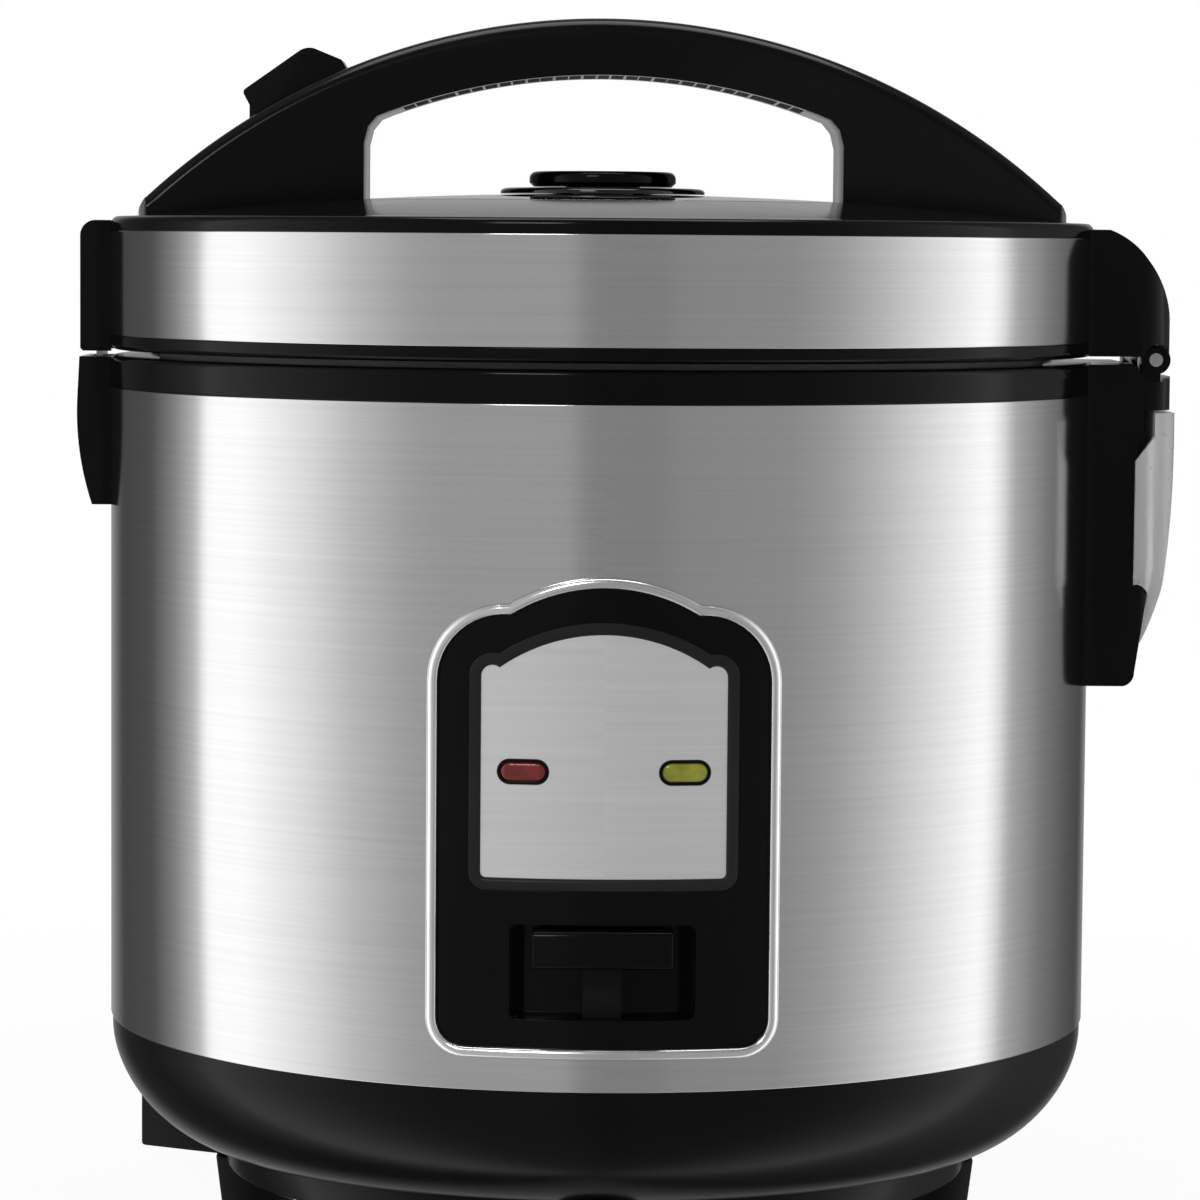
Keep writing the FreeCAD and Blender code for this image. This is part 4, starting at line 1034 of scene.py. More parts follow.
@dataclass
class Base:
    """The black bowl under the sleeve, its vented bottom, its feet and the appliance inlet."""

    rim: float = 109.6
    bend_z: float = 44.5
    skirt: float = 84.0
    skirt_top: float = 18.8
    skirt_low: float = 12.0
    wall: float = 2.4
    foot_ring: float = 77.0
    foot: float = 9.5
    inlet_azimuth: float = 152.0
    inlet_half: float = 16.0
    inlet_z: Pair = (6.0, 33.0)

    def curve(self, offset: float, steps: int = 24) -> list[Pair]:
        """The bowl's bulge from its rim down to the skirt, moved inwards by an offset."""
        rim, low_r, low_z = self.rim - offset, self.skirt - offset, self.skirt_top + offset
        poles = [(rim, self.bend_z), (rim, self.bend_z - 11), (rim - 11, low_z), (low_r, low_z)]
        points = []
        for step in range(steps + 1):
            t = step / steps
            weights = ((1 - t) ** 3, 3 * t * (1 - t) ** 2, 3 * t * t * (1 - t), t ** 3)
            points.append(tuple(sum(w * pole[axis] for w, pole in zip(weights, poles)) for axis in (0, 1)))
        return points

    def bowl(self) -> None:
        """Makes the bowl with its lip, skirt and ledge, and cuts the inlet's opening."""
        outside = self.curve(0.0)
        inside = self.curve(self.wall)
        low = self.skirt_low
        profile = [(106.8, 51.8), (109.2, 51.8), (109.2, 46.8), (self.rim, 46.8), (self.rim, 46.2)] + outside
        profile += [(self.skirt, low + 0.8), (self.skirt - 0.25, low + 0.25), (self.skirt - 0.8, low)]
        profile += [(74.6, low), (74.0, low + 0.6), (74.0, low + 2), (self.skirt - self.wall, low + 2)]
        profile += list(reversed(inside)) + [(107.2, 46.0)]
        made = Maker.lathe("base_bowl_shell", profile, 256)
        opening = Maker.box("opening", (80.0, 125.0), (-self.inlet_half - 0.2, self.inlet_half + 0.2),
                            (self.inlet_z[0] - 0.2, self.inlet_z[1] + 0.2))
        self.turn_to_inlet(opening)
        Maker.carve(made, [opening])
        Maker.hand_over(made, Finishes.BASE, BODY, "gloss_black", "base_bowl")

    def turn_to_inlet(self, made: bpy.types.Object) -> None:
        """Turns a mesh made along +X to the inlet's place."""
        made.data.transform(Matrix.Rotation(math.radians(self.inlet_azimuth), 4, "Z"))

    def bottom(self) -> None:
        """Makes the bottom plate with its row of rounded slots."""
        plate = Maker.lathe("vented_bottom", soften([(0, 14.0, 0), (80.0, 14.0, 0.4), (80.0, 16.0, 0.4),
                                                     (0, 16.0, 0)]), 160)
        slot = soften([(-1.5, -16, 1.49), (1.5, -16, 1.49), (1.5, 16, 1.49), (-1.5, 16, 1.49)], 4)
        cutter = Maker.plan_prism("slot", slot, 10.0, 20.0)
        row = Repeater.repeat("slots", cutter, Pattern.ROW, 9, (-32, 0, 0), Finishes.MATTE, step=(8, 0, 0))
        Maker.carve(plate, [row])
        Maker.hand_over(plate, Finishes.MATTE, BODY, "matte_black", "bottom_cover")

    def screws(self) -> None:
        """Makes the three pan-head screws under the bottom plate, by the repeat tree."""
        head = Maker.lathe("head", [(0.0, 12.0), (1.6, 12.0), (2.6, 12.35), (3.0, 13.2), (3.0, 13.8),
                                    (1.5, 13.8),
                                    (1.5, 17.0), (0.0, 17.0)], 24)
        cross = [Maker.box("cross", (-2.0, 2.0), (-0.3, 0.3), (11.0, 12.9)),
                 Maker.box("cross", (-0.3, 0.3), (-2.0, 2.0), (11.0, 12.9))]
        Maker.carve(head, cross)
        made = Repeater.repeat("bottom_cover_screws", head, Pattern.RING, 3, (0, 0, 0), Finishes.ZINC,
                               radius=77.0)
        made.data.transform(Matrix.Rotation(math.radians(45.0), 4, "Z"))
        Maker.hand_over(made, Finishes.ZINC, BODY, "plain_steel", "bottom_screws")

    def feet(self) -> None:
        """Makes the four rubber feet, each with grip rings underneath, by the repeat tree."""
        grips = [(2.0, 0.0), (2.3, 0.5), (3.1, 0.5), (3.4, 0.0), (4.6, 0.0), (4.9, 0.5), (5.7, 0.5),
                 (6.0, 0.0)]
        profile = [(0.0, 0.0)] + grips + [(7.2, 0.0), (7.9, 0.4), (8.2, 1.0), (self.foot, 11.4),
                                          (self.foot - 0.2, 12.0),
                                          (0.0, 12.0)]
        foot = Maker.lathe("foot", profile, 48)
        made = Repeater.repeat("foot_pads", foot, Pattern.RING, 4, (0, 0, 0), Finishes.RUBBER,
                               radius=self.foot_ring)
        Maker.hand_over(made, Finishes.RUBBER, BODY, "rubber", "rubber_feet")

    def inlet(self) -> None:
        """Makes the appliance inlet with its rounded socket and three contact pins."""
        low, top = self.inlet_z
        middle = (low + top) / 2
        half = self.inlet_half
        housing = Maker.box("inlet_housing", (88.0, 113.0), (-half, half), (low, top))
        socket = Maker.prism("socket", soften([(-12, middle - 9, 3), (12, middle - 9, 3),
                                               (12, middle + 9, 4.5),
                                               (-12, middle + 9, 4.5)], 6), 96.0, 116.0,
                             lambda a, b, level: (level, a, b))
        Maker.carve(housing, [socket])
        Maker.bevel(housing, 0.9, 3)
        self.turn_to_inlet(housing)
        Maker.hand_over(housing, Finishes.MATTE, BODY, "matte_black", "power_inlet")
        places = ((-7.0, middle - 2), (7.0, middle - 2), (0.0, middle + 3))
        pins = [Maker.box("pin", (82.0, 107.9), (y - 1, y + 1), (z - 2.2, z + 2.2)) for y, z in places]
        made = Maker.bevel(Maker.join("inlet_contacts", pins), 0.6, 3)
        self.turn_to_inlet(made)
        Maker.hand_over(made, Finishes.BRASS, BODY, "brass", "inlet_pins")

    def build(self) -> None:
        """Builds the base's pieces."""
        self.bowl()
        self.bottom()
        self.screws()
        self.feet()
        self.inlet()


# ---------------------------------------------------------------- control panel
@dataclass(frozen=True)
class ArchOutline:
    """A panel outline with rounded lower corners, round shoulders and a shallow arch on top."""

    half: float
    low: float
    top: float
    corner: float
    shoulder: float
    shoulder_top: float
    arch: float

    def points(self, inset: float = 0.0) -> list[Pair]:
        """The outline's (x, z) points, drawn inset by a margin.

        Args:
            inset: the margin.

        Returns:
            As many points whatever the margin is.
        """
        side = (self.half - self.shoulder, self.shoulder_top - self.shoulder)
        half, low = self.half - inset, self.low + inset
        corner, shoulder, arch_r = (part - inset for part in (self.corner, self.shoulder, self.arch))
        arch_z = self.top - self.arch
        apart = math.hypot(side[0], side[1] - arch_z)
        along = (apart ** 2 + arch_r ** 2 - shoulder ** 2) / (2 * apart)
        off = math.sqrt(max(arch_r ** 2 - along ** 2, 0.0))
        ux, uz = side[0] / apart, (side[1] - arch_z) / apart
        meet = (along * ux - off * uz, arch_z + along * uz + off * ux)
        turn = math.degrees(math.atan2(meet[1] - side[1], meet[0] - side[0]))
        crown = math.degrees(math.atan2(meet[1] - arch_z, meet[0]))
        points = arc((half - corner, low + corner), corner, -90, 0, 8)
        points += arc(side, shoulder, 0, turn, 12)[:-1]
        points += arc((0.0, arch_z), arch_r, crown, 180 - crown, 36)
        points += arc((-side[0], side[1]), shoulder, 180 - turn, 180, 12)[1:]
        points += arc((-half + corner, low + corner), corner, 180, 270, 8)
        run = half - corner
        points += [(-run + 2 * run * step / 20, low) for step in range(1, 20)]
        return points


PANEL = ArchOutline(36.3, 53.8, 152.6, 8.0, 16.1, 147.1, 38.0)
LABEL = ArchOutline(27.6, 88.5, 143.4, 3.6, 4.8, 137.0, 39.0)


@dataclass
class ControlPanel:
    """The black panel on the front, with its bright trim, satin label, lamps, pocket and lever key."""

    radius: float = 110.0
    trim_width: float = 2.4
    bezel_width: float = 2.5
    lamp_x: float = 16.5
    lamp_z: float = 112.8
    lamp_half: float = 4.6
    lamp_r: float = 1.9
    lamp_ring: float = 0.75
    pocket_half: float = 19.0
    pocket_z: Pair = (62.0, 81.5)
    pocket_back: float = 101.6
    strip: float = 1.6

    def on_wall(self, x: float, z: float, depth: float) -> Triple:
        """The point on a cylinder of that radius, at that place as seen from the front."""
        return (x, -math.sqrt(depth * depth - x * x), z)

    def bead(self, name: str, outlines: Sequence[Sequence[Pair]],
             heights: Sequence[float]) -> bpy.types.Object:
        """Makes a closed bead that follows the wall.

        Args:
            name: the object's name.
            outlines: the outline at each point of the bead's section.
            heights: how far off the sleeve each of them is.

        Returns:
            The object.
        """
        rings = [[self.on_wall(x, z, self.radius + height) for x, z in outline]
                 for outline, height in zip(outlines, heights)]
        return Maker.loops(name, rings, closed=True, caps=False)

    def flat(self, outline: Sequence[Pair], inner: float, outer: float) -> bpy.types.Object:
        """A prism in front of the axis between two distances, not yet bent to the wall."""
        return Maker.prism("flat", outline, inner, outer, lambda a, b, level: (a, -level, b))

    def bend(self, made: bpy.types.Object) -> bpy.types.Object:
        """Bends a flat prism round the wall, after cutting it into narrow strips."""
        shape = bmesh.new()
        shape.from_mesh(made.data)
        half = int(40 / self.strip)
        for step in range(-half, half + 1):
            everything = list(shape.verts) + list(shape.edges) + list(shape.faces)
            bmesh.ops.bisect_plane(shape, geom=everything, plane_co=((step + 0.5) * self.strip * MM, 0, 0),
                                   plane_no=(1, 0, 0), dist=1e-7)
        for vertex in shape.verts:
            vertex.co.y = -math.sqrt(vertex.co.y ** 2 - vertex.co.x ** 2)
        shape.to_mesh(made.data)
        shape.free()
        return made

    def stadium(self, side: int, margin: float) -> list[Pair]:
        """A lamp's outline, grown by a margin."""
        half, radius = self.lamp_half - self.lamp_r, self.lamp_r + margin
        x = side * self.lamp_x
        return (arc((x + half, self.lamp_z), radius, -90, 90, 16)
                + arc((x - half, self.lamp_z), radius, 90, 270, 16))

    def trim(self) -> None:
        """Makes the bright trim as a rounded bead round the panel."""
        section = ((0.0, 0.02), (0.0, 1.2), (0.12, 1.75), (0.45, 2.15), (0.85, 2.35), (1.2, 2.4),
                   (1.55, 2.35),
                   (1.95, 2.15), (2.28, 1.75), (2.4, 1.2), (2.4, 0.02))
        made = self.bead("panel_trim_bead", [PANEL.points(inset) for inset, _ in section],
                         [h for _, h in section])
        Maker.hand_over(made, Finishes.TRIM, BODY, "bright_trim", "panel_trim")

    def plate(self) -> None:
        """Makes the glossy panel with the label's recess and the lever's pocket."""
        r = self.radius
        made = self.flat(PANEL.points(self.trim_width - 0.05), r - 2.2, r + 1.2)
        made.name = "panel_plate"
        low, top = self.pocket_z
        half = self.pocket_half
        tray = Maker.box("tray", (-half - 1.4, half + 1.4), (-r, -self.pocket_back + 1.4),
                         (low - 1.4, top + 1.4))
        Maker.carve(made, [tray], "UNION")
        pocket = soften([(-half, low, 1.6), (half, low, 1.6), (half, top, 1.6), (-half, top, 1.6)], 5)
        room = Maker.box("room", (-5.0, 5.0), (-107.6, -101.8), (low - 3, low + 1))
        recess = self.flat(LABEL.points(0.0), r + 0.2, r + 9)
        bores = [self.flat(self.stadium(side, self.lamp_ring), r - 9, r + 9) for side in (-1, 1)]
        Maker.carve(made, [self.flat(pocket, self.pocket_back, r + 9), room, recess] + bores)
        Maker.bevel(made, 0.3, 3, 50.0)
        self.bend(made)
        Maker.hand_over(made, Finishes.BLACK, BODY, "gloss_black", "panel_face")

    def label(self) -> None:
        """Makes the satin label, left bare, with its dark frame and the lamps' dark rims."""
        r = self.radius
        width = self.bezel_width
        section = ((0.0, 0.22), (0.0, 1.25), (0.25, 1.5), (1.7, 1.5), (2.2, 1.3), (width, 0.95),
                   (width, 0.22))
        frame = self.bead("label_frame", [LABEL.points(inset) for inset, _ in section],
                          [h for _, h in section])
        Maker.hand_over(frame, Finishes.BEZEL, BODY, "grey_trim", "label_bezel")
        made = self.flat(LABEL.points(width), r + 0.2, r + 0.9)
        made.name = "silver_label_plate"
        Maker.carve(made, [self.flat(self.stadium(side, self.lamp_ring - 0.05), r - 9, r + 9)
                           for side in (-1, 1)])
        self.bend(made)
        Maker.hand_over(made, Finishes.LABEL, BODY, "silver_label", "label_plate")
        section = ((0.75, 0.2), (0.75, 0.95), (0.6, 1.15), (0.35, 1.2), (0.1, 1.1), (0.02, 0.9), (0.02, 0.2))
        rims = [self.bead("rim", [self.stadium(side, margin) for margin, _ in section],
                          [h for _, h in section])
                for side in (-1, 1)]
        Maker.hand_over(Maker.join("lamp_rims", rims), Finishes.BLACK, BODY, "grey_trim")

    def lamps(self) -> None:
        """Makes the two domed lamp lenses."""
        section = ((0.0, -2.2), (0.0, 0.8), (-0.15, 1.0), (-0.5, 1.16), (-1.0, 1.26), (-1.5, 1.3),
                   (-1.85, 1.3))
        for side, name, finish, node in ((-1, "red_lamp_lens", Finishes.RED, "lamp_lens_left"),
                                         (1, "green_lamp_lens", Finishes.GREEN, "lamp_lens_right")):
            rings = [[self.on_wall(x, z, self.radius + height) for x, z in self.stadium(side, margin)]
                     for margin, height in section]
            made = Maker.loops(name, rings, closed=False, caps=True)
            Maker.hand_over(made, finish, BODY, "red_lens" if side < 0 else "green_lens", node)

    def key(self) -> None:
        """Makes the lever's key, with a finger ledge along its top edge."""
        outline = soften([(-112.6, 72.6, 1.2), (-112.6, 80.6, 1.6), (-105.2, 80.6, 0.4), (-105.2, 72.6, 0.4)],
                         5)
        made = Maker.prism("lever_key_cap", outline, -14.3, 14.3, lambda a, b, level: (level, a, b))
        Maker.bevel(made, 1.1, 4, 60.0)
        Maker.hand_over(made, Finishes.BLACK, "cook_lever", "gloss_black", "lever_key")
        FromPart.soften("lever_beam", Finishes.MATTE, "cook_lever", "matte_black", 0.4, "lever_arm")

    def build(self) -> None:
        """Builds the panel's pieces."""
        self.trim()
        self.plate()
        self.label()
        self.lamps()
        self.key()


# ---------------------------------------------------------------- lid
@dataclass
class Lid:
    """The steel band, the domed black top with its window, the steam vent and the lower rim."""

    radius: float = 110.0
    sheet: float = 0.6
    low: float = 195.8
    band_low: float = 198.9
    band_top: float = 222.0
    edge_z: float = 225.2
    dome_top: float = 231.0
    dome_edge: float = 106.0
    window: float = 58.0
    glass: float = 3.0
    ledge: float = 4.5
    vent_bore: float = 11.0
    vent_r: float = 23.0
    cap_r: float = 16.5
    cap_top: float = 236.0

    def dome(self, radius: float) -> float:
        """The height of the domed top at a distance from the axis."""
        drop = self.dome_top - self.edge_z
        sphere = (self.dome_edge ** 2 + drop ** 2) / (2 * drop)
        return self.dome_top - sphere + math.sqrt(sphere ** 2 - radius ** 2)

    def dome_run(self, start: float, end: float, below: float = 0.0, steps: int = 16) -> list[Pair]:
        """Points along the dome from one radius to another, lowered by a thickness."""
        radii = [start + (end - start) * step / steps for step in range(steps + 1)]
        return [(radius, self.dome(radius) - below) for radius in radii]

    def band(self) -> None:
        """Makes the brushed band round the lid."""
        inner, outer = self.radius - self.sheet, self.radius
        profile = soften([(inner, self.band_low, 0.1), (outer, self.band_low, 0.4),
                          (outer, self.band_top, 0.4),
                          (inner, self.band_top, 0.1)], 4)
        made = Maker.lathe("lid_steel_band", profile, 360)
        Maker.carve(made, [Maker.box("room", (-125, -100), (-5.3, 5.3), (216.1, 220.7))])
        Maker.hand_over(made, Finishes.STEEL, LID, "brushed_steel", "lid_band")

    def top(self) -> None:
        """Makes the black domed top with its bevelled edge and the window's opening."""
        r, lip, wall_out = self.radius, self.radius - 0.8, self.window + 2.4
        seat = self.dome(self.window) - self.glass - 0.8
        low = seat - 2.4
        edge = self.edge_z
        profile = [(self.window - self.ledge, low), (wall_out, low), (wall_out, self.dome(wall_out) - 2.4)]
        profile += self.dome_run(wall_out + 0.1, self.dome_edge - 2, 2.4, 8)
        profile += [(lip - 2.4, edge - 3.0), (lip - 2.4, self.band_top - 6), (lip, self.band_top - 6),
                    (lip, self.band_top), (r - 0.15, self.band_top), (r, self.band_top + 0.15)]
        profile += [(r, edge - 1.5), (r - 0.12, edge - 0.95), (r - 0.5, edge - 0.45), (r - 1.0, edge - 0.1),
                    (r - 1.6, edge)]
        profile += self.dome_run(self.dome_edge, self.window + 0.5) + [(self.window + 0.1,
                                                                        self.dome(self.window) - 0.1)]
        profile += [(self.window, self.dome(self.window) - 0.5), (self.window, seat),
                    (self.window - self.ledge, seat)]
        made = Maker.lathe("lid_dome", profile, 256)
        Maker.carve(made, [Maker.box("room", (-90.4, -84.2), (-3.9, 3.9), (210, 240)),
                           Maker.box("room", (-125, -90), (-5.3, 5.3), (216.1, 220.7))])
        Maker.hand_over(made, Finishes.BLACK, LID, "gloss_black", "lid_cover")

    def rim(self) -> None:
        """Makes the black lower rim that closes on the collar."""
        r, lip, bore = self.radius, self.radius - 0.8, 99.6
        profile = soften([(bore, self.low, 0.4), (lip, self.low, 0.2), (r, self.low + 0.9, 0.4),
                          (r, self.band_low, 0.2),
                          (lip, self.band_low, 0.1), (lip, self.band_low + 7, 0.2),
                          (lip - 2.4, self.band_low + 7, 0.2),
                          (lip - 2.4, self.band_low - 0.6, 0.2), (bore, self.band_low - 0.6, 0.2)], 4)
        made = Maker.lathe("lid_lower_rim", profile, 256)
        Maker.hand_over(made, Finishes.BLACK, LID, "gloss_black", "lid_rim")

    def pane(self) -> None:
        """Makes the domed glass with ground edges."""
        low = self.dome(self.window) - self.glass
        out = self.window - 0.2
        profile = [(self.vent_bore + 0.4, low), (out - 0.5, low), (out, low + 0.5),
                   (out, self.dome(out) - 0.4)]
        profile += self.dome_run(out - 0.4, self.vent_bore + 0.4) + [(self.vent_bore, self.dome_top - 0.5)]
        profile += [(self.vent_bore, low + 0.4)]
        made = Maker.lathe("window_pane", profile, 192)
        Maker.hand_over(made, Finishes.GLASS, LID, "window_glass", "window_glass")

    def vent(self) -> None:
        """Makes the steam vent: its flanged seat, and the lift-out cap with a ring of steam holes."""
        low = self.dome(self.window) - self.glass
        tube = self.vent_bore - 0.3
        top = self.dome_top + 1.3
        seat = [(tube - 2, low - 4), (tube, low - 4), (tube, self.dome_top), (self.vent_r, self.dome_top)]
        seat += [(self.vent_r, self.dome_top + 0.5), (self.vent_r - 0.2, self.dome_top + 0.85)]
        seat += [(self.vent_r - 0.8, top - 0.1), (self.vent_r - 1.6, top), (tube - 1.6, top),
                 (tube - 2, top - 0.4)]
        made = Maker.lathe("vent_flange", seat, 160)
        Maker.hand_over(made, Finishes.VENT, LID, "gloss_black", "vent_seat")
        stem = tube - 2.3
        cap = [(stem - 1.6, low), (stem, low), (stem, top + 0.3), (self.cap_r - 1, top + 0.3),
               (self.cap_r, top + 1.2)]
        cap += arc((self.cap_r - 1.6, self.cap_top - 1.6), 1.6, 0, 90, 8)
        cap += [(9.0, self.cap_top), (8.2, self.cap_top - 0.5), (7.2, self.cap_top - 0.7),
                (0, self.cap_top - 0.7)]
        cap += [(0, self.cap_top - 1.7), (stem - 1.6, self.cap_top - 1.7)]
        made = Maker.lathe("vent_cap_top", cap, 128)
        hole = Maker.lathe("hole", [(0, 232.0), (1.3, 232.0), (1.3, 240.0), (0, 240.0)], 20)
        ring = Repeater.repeat("holes", hole, Pattern.RING, 6, (0, 0, 0), Finishes.BLACK, radius=4.2)
        Maker.carve(made, [ring])
        Maker.hand_over(made, Finishes.BLACK, "vent_cap", "gloss_black", "vent_cap")

    def build(self) -> None:
        """Builds the lid's pieces."""
        self.band()
        self.top()
        self.rim()
        self.pane()
        self.vent()


class FromPart:
    """Softens the frame's own shapes where they are right but their edges are sharp."""

    @staticmethod
    def copy(name: str, nodes: Sequence[str]) -> bpy.types.Object:
        """Copies nodes' meshes into one object of whole, flat faces.

        Args:
            name: the new object's name.
            nodes: the nodes.

        Returns:
            The object.
        """
        shape = bmesh.new()
        for node in nodes:
            shape.from_mesh(frame["nodes"][node].data)
        bmesh.ops.remove_doubles(shape, verts=shape.verts, dist=2e-6)
        bmesh.ops.dissolve_limit(shape, angle_limit=math.radians(0.6), verts=shape.verts, edges=shape.edges)
        mesh = bpy.data.meshes.new(name)
        shape.to_mesh(mesh)
        shape.free()
        made = bpy.data.objects.new(name, mesh)
        bpy.context.scene.collection.objects.link(made)
        return made

    @classmethod
    def soften(cls, name: str, finish: Finish, body: str, slot: str, width: float,
               *nodes: str) -> bpy.types.Object:
        """Copies nodes, rounds their edges and hands the piece over.

        Args:
            name: the piece's name.
            finish: its finish.
            body: the body that it rides on.
            slot: the record's slot; not used.
            width: how wide the rounding is, in millimetres.
            nodes: the nodes that it stands for.

        Returns:
            The piece.
        """
        made = cls.copy(name, nodes)
        if width:
            Maker.bevel(made, width, 3, 32.0)
        Maker.hand_over(made, finish, body, slot, *nodes)
        return made


@dataclass
class Handle:
    """The arched handle over the lid, its grip lining and the release button."""

    arch_r: float = 145.3
    arch_top: float = 269.8
    grip: float = 12.6
    grip_arch_r: float = 137.7
    grip_half: float = 53.0
    end: float = 104.0
    mid_half: float = 15.0
    end_half: float = 29.0
    foot_z: float = 223.0
    shoulder: float = 4.0
    button_at: Pair = (-67.8, 254.0)
    button_tilt: float = 28.0
    seat: tuple[Pair, Pair, Pair] = ((-12.0, 12.0), (-9.4, 9.4), (-6.24, 16.0))
    channel: tuple[tuple[Pair, Pair, Pair], ...] = (
        ((-79.6, -67.0), (-7.4, 7.4), (229.9, 250)), ((-82.4, -76.4), (-3.9, 3.9), (228.2, 241.9)),
        ((-90.4, -76.4), (-3.9, 3.9), (228.2, 234.9)), ((-90.4, -84.2), (-3.9, 3.9), (215, 234)))
    stations: int = 130
    end_ease: float = 0.05
    cut_low: float = 200
    cut_high: float = 300

    def rise(self, x: float) -> float:
        """The height of the outer arch at a place along the handle."""
        return self.arch_top - self.arch_r + math.sqrt(self.arch_r ** 2 - x * x)

    def waist(self, x: float) -> float:
        """Half the handle's width at a place along it, on an arc that is narrowest in the middle."""
        gain = self.end_half - self.mid_half
        radius = (self.end ** 2 + gain ** 2) / (2 * gain)
        return self.mid_half + radius - math.sqrt(radius ** 2 - x * x)

    def blank(self) -> bpy.types.Object:
        """The handle's outside, with rounded upper edges, before anything is cut from it."""
        rings = []
        for station in range(self.stations + 1):
            x = -self.end + 2 * self.end * station / self.stations
            half, top = self.waist(x), self.rise(x)
            bend = min(self.shoulder, 0.55 * (top - self.foot_z))
            section = arc((half - bend, top - bend), bend, 0, 90, 8)
            section += [(-y, z) for y, z in reversed(section)]
            section = [(half, self.foot_z)] + section + [(-half, self.foot_z)]
            rings.append([(x, y, z) for y, z in section])
        made = Maker.loops("arched_handle", rings, closed=False, caps=True)
        reach = self.end - self.end_ease
        round_end = Maker.lathe("end", [(0, self.cut_low), (reach, self.cut_low), (reach, self.cut_high),
                                        (0, self.cut_high)], 256)
        return Maker.carve(made, [round_end], "INTERSECT")

    def opening(self) -> bpy.types.Object:
        """The space under the grip, with rounded upper corners."""
        low = self.arch_top - self.grip - self.grip_arch_r
        corner = self.grip_half - 5.5
        crown = math.degrees(math.acos(corner / self.grip_arch_r))
        top = arc((0.0, low), self.grip_arch_r, crown, 180 - crown, 48)
        side = top[0][1] - 7.0
        corners = [(self.grip_half, self.cut_low), (self.grip_half, side), (self.grip_half - 0.9, side + 3.6),
                   (self.grip_half - 2.8, side + 5.9)]
        mirrored = [(-x, z) for x, z in reversed(corners)]
        return Maker.side_prism("opening", corners + top + mirrored, 40.0)

    def build(self) -> None:
        """Builds the handle's pieces."""
        made = self.blank()
        seat = Maker.box("seat", *self.seat)
        seat.data.transform(Matrix.Rotation(math.radians(-self.button_tilt), 4, "Y"))
        seat.data.transform(Matrix.Translation((self.button_at[0] * MM, 0, self.button_at[1] * MM)))
        channel = [Maker.box("channel", *run) for run in self.channel]
        Maker.carve(made, [self.opening(), seat, FromPart.copy("lining", ["grip_lining"])] + channel)
        Maker.bevel(made, 1.3, 4, 55.0)
        Maker.hand_over(made, Finishes.HANDLE, LID, "gloss_black", "handle")
        FromPart.soften("grip_underside", Finishes.MATTE, LID, "matte_black", 0.0, "grip_lining")
        FromPart.soften("release_button_cap", Finishes.HANDLE, "release_button", "gloss_black", 0.8,
                        "release_button")


@dataclass
class LatchAndHinge:
    """The latch's two covers, the hinge spine and cover, and the clear condensate cup."""

    edge: float = 0.9
    cup_edge: float = 0.5

    def build(self) -> None:
        """Builds the pieces at the two sides."""
        FromPart.soften("latch_housing", Finishes.BLACK, LID, "gloss_black", self.edge, "latch_cover")
        FromPart.soften("latch_keeper", Finishes.BLACK, BODY, "gloss_black", self.edge, "latch_catch")
        FromPart.soften("hinge_column", Finishes.BLACK, BODY, "gloss_black", 0.6, "hinge_spine")
        FromPart.soften("hinge_housing", Finishes.BLACK, LID, "gloss_black", 0.6, "hinge_cover")
        FromPart.soften("drip_cup", Finishes.CUP, "condensate_cup", "clear_plastic", self.cup_edge,
                        "condensate_cup")


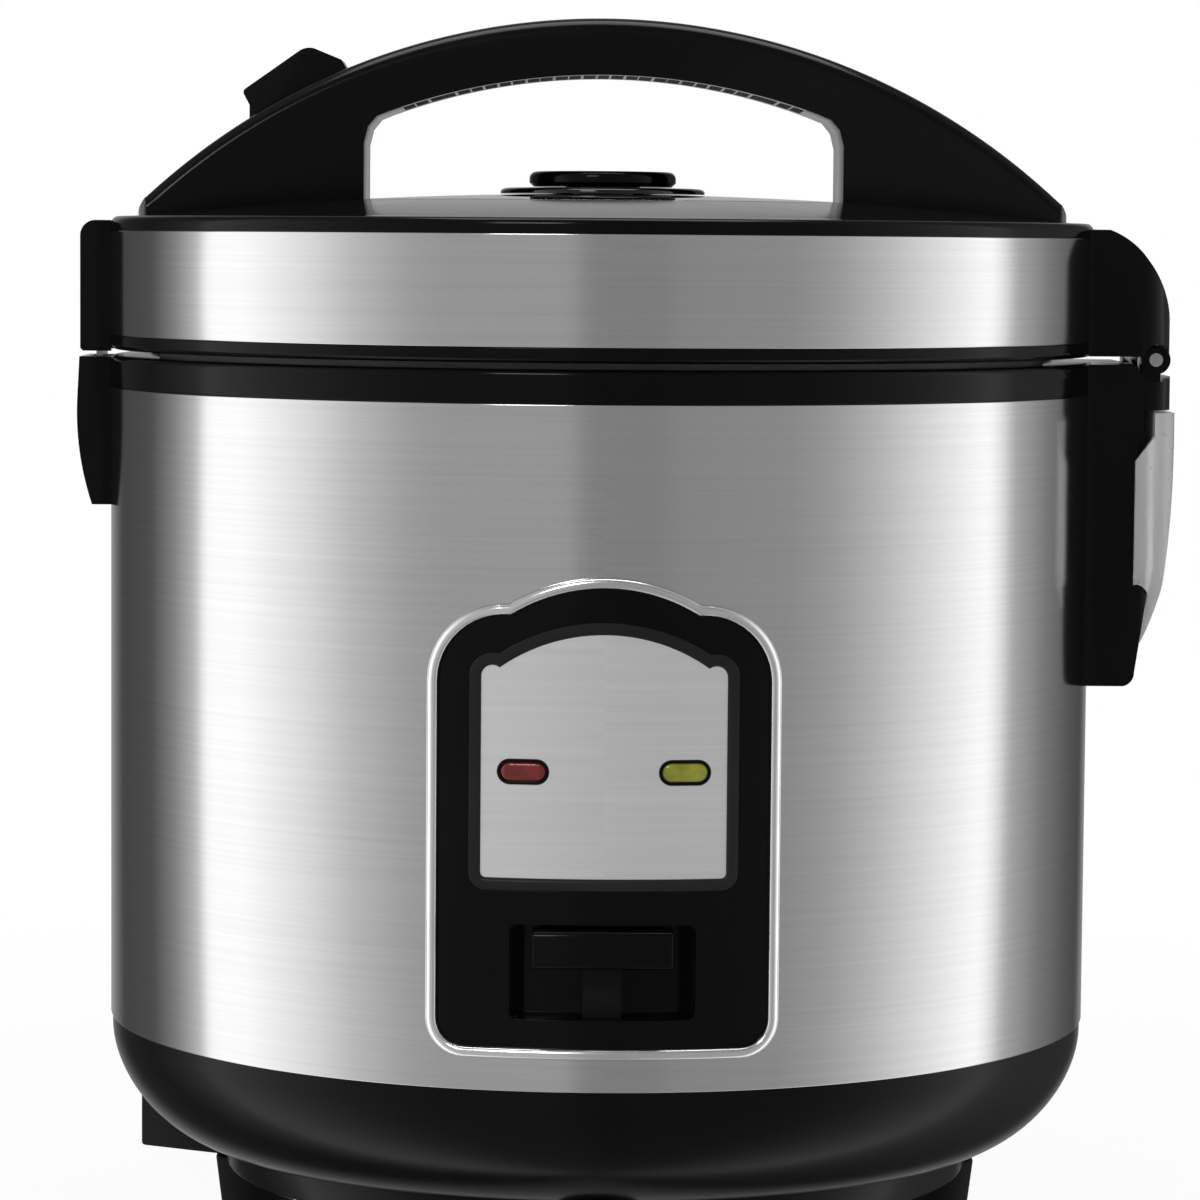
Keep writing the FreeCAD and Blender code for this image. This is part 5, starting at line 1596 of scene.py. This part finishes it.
@dataclass
class Pot:
    """The lift-out cooking pot: a spun aluminium shell with a dark non-stick coating inside."""

    radius: float = 94.0
    wall: float = 1.4
    rim: float = 99.5
    low: float = 76.3
    rim_z: float = 187.3
    bend: float = 14.0
    coat: float = 0.12

    def build(self) -> None:
        """Builds the shell and its coating."""
        low, bend, inner = self.low, self.bend, self.radius - self.wall
        outside = [(0.0, low)] + arc((self.radius - bend, low + bend), bend, -90, 0, 12)
        rim = [(self.radius, self.rim_z), (self.rim - 0.5, self.rim_z), (self.rim, self.rim_z + 0.35),
               (self.rim, self.rim_z + 0.85), (self.rim - 0.5, self.rim_z + 1.2)]
        throat = arc((inner + 1.3, self.rim_z - 0.22), 1.3, 90, 180, 6)
        throat = [(r, z + 0.12) for r, z in throat]
        floor = arc((self.radius - bend, low + bend), bend - self.wall, 0, -90, 12)
        shell = Maker.lathe("pot_shell", outside + rim + throat + floor + [(0.0, low + self.wall)], 256)
        Maker.hand_over(shell, Finishes.ALUMINIUM, "inner_pot", "pot_aluminium", "inner_pot")
        skin = throat + floor
        inside = [(r - self.coat, z) for r, z in reversed(throat)]
        base = [(r - self.coat * 0.7, z + self.coat * 0.7) for r, z in reversed(floor)]
        profile = skin + [(0.0, low + self.wall), (0.0, low + self.wall + self.coat)] + base + inside
        coating = Maker.lathe("pot_coating", profile, 256)
        Maker.hand_over(coating, Finishes.COATING, "inner_pot", "pot_aluminium")


class Inside:
    """The frame's own parts that show as they are, and only take a better finish."""

    def build(self) -> None:
        """Dresses every node that no piece stands for."""
        slots = {row["node"]: row["material_slot"] for row in frame["record"]["subparts"]}
        by_slot = {"brushed_steel": Finishes.STEEL, "lining_steel": Finishes.LINING,
                   "plain_steel": Finishes.ZINC,
                   "bright_trim": Finishes.TRIM, "grey_trim": Finishes.BEZEL, "silver_label": Finishes.LABEL,
                   "gloss_black": Finishes.BLACK, "matte_black": Finishes.MATTE,
                   "white_plastic": Finishes.ACETAL,
                   "red_lens": Finishes.RED, "green_lens": Finishes.GREEN, "lamp_glass": Finishes.NEON,
                   "circuit_board": Finishes.BOARD, "clear_plastic": Finishes.CUP,
                   "window_glass": Finishes.GLASS,
                   "silicone": Finishes.SILICONE, "rubber": Finishes.RUBBER, "brass": Finishes.BRASS,
                   "pot_aluminium": Finishes.ALUMINIUM, "cast_aluminium": Finishes.CASTING,
                   "mica_band": Finishes.MICA, "ferrite": Finishes.FERRITE}
        for name, made in frame["nodes"].items():
            if made.hide_render:
                continue
            finish = by_slot[slots[name]]
            made.data.materials.clear()
            made.data.materials.append(finish.material())
            LOG.info("%s keeps its shape and takes %s", name, finish.name)


def main() -> None:
    """Builds the studio and the cooker in order."""
    logging.basicConfig(level=logging.INFO, format="%(name)s: %(message)s")
    for part in (Studio(), SteelBody(), Base(), ControlPanel(), Lid(), Handle(), LatchAndHinge(), Pot(),
                 Inside()):
        part.build()
        LOG.info("%s done", type(part).__name__)


if __name__ == "__main__":
    main()
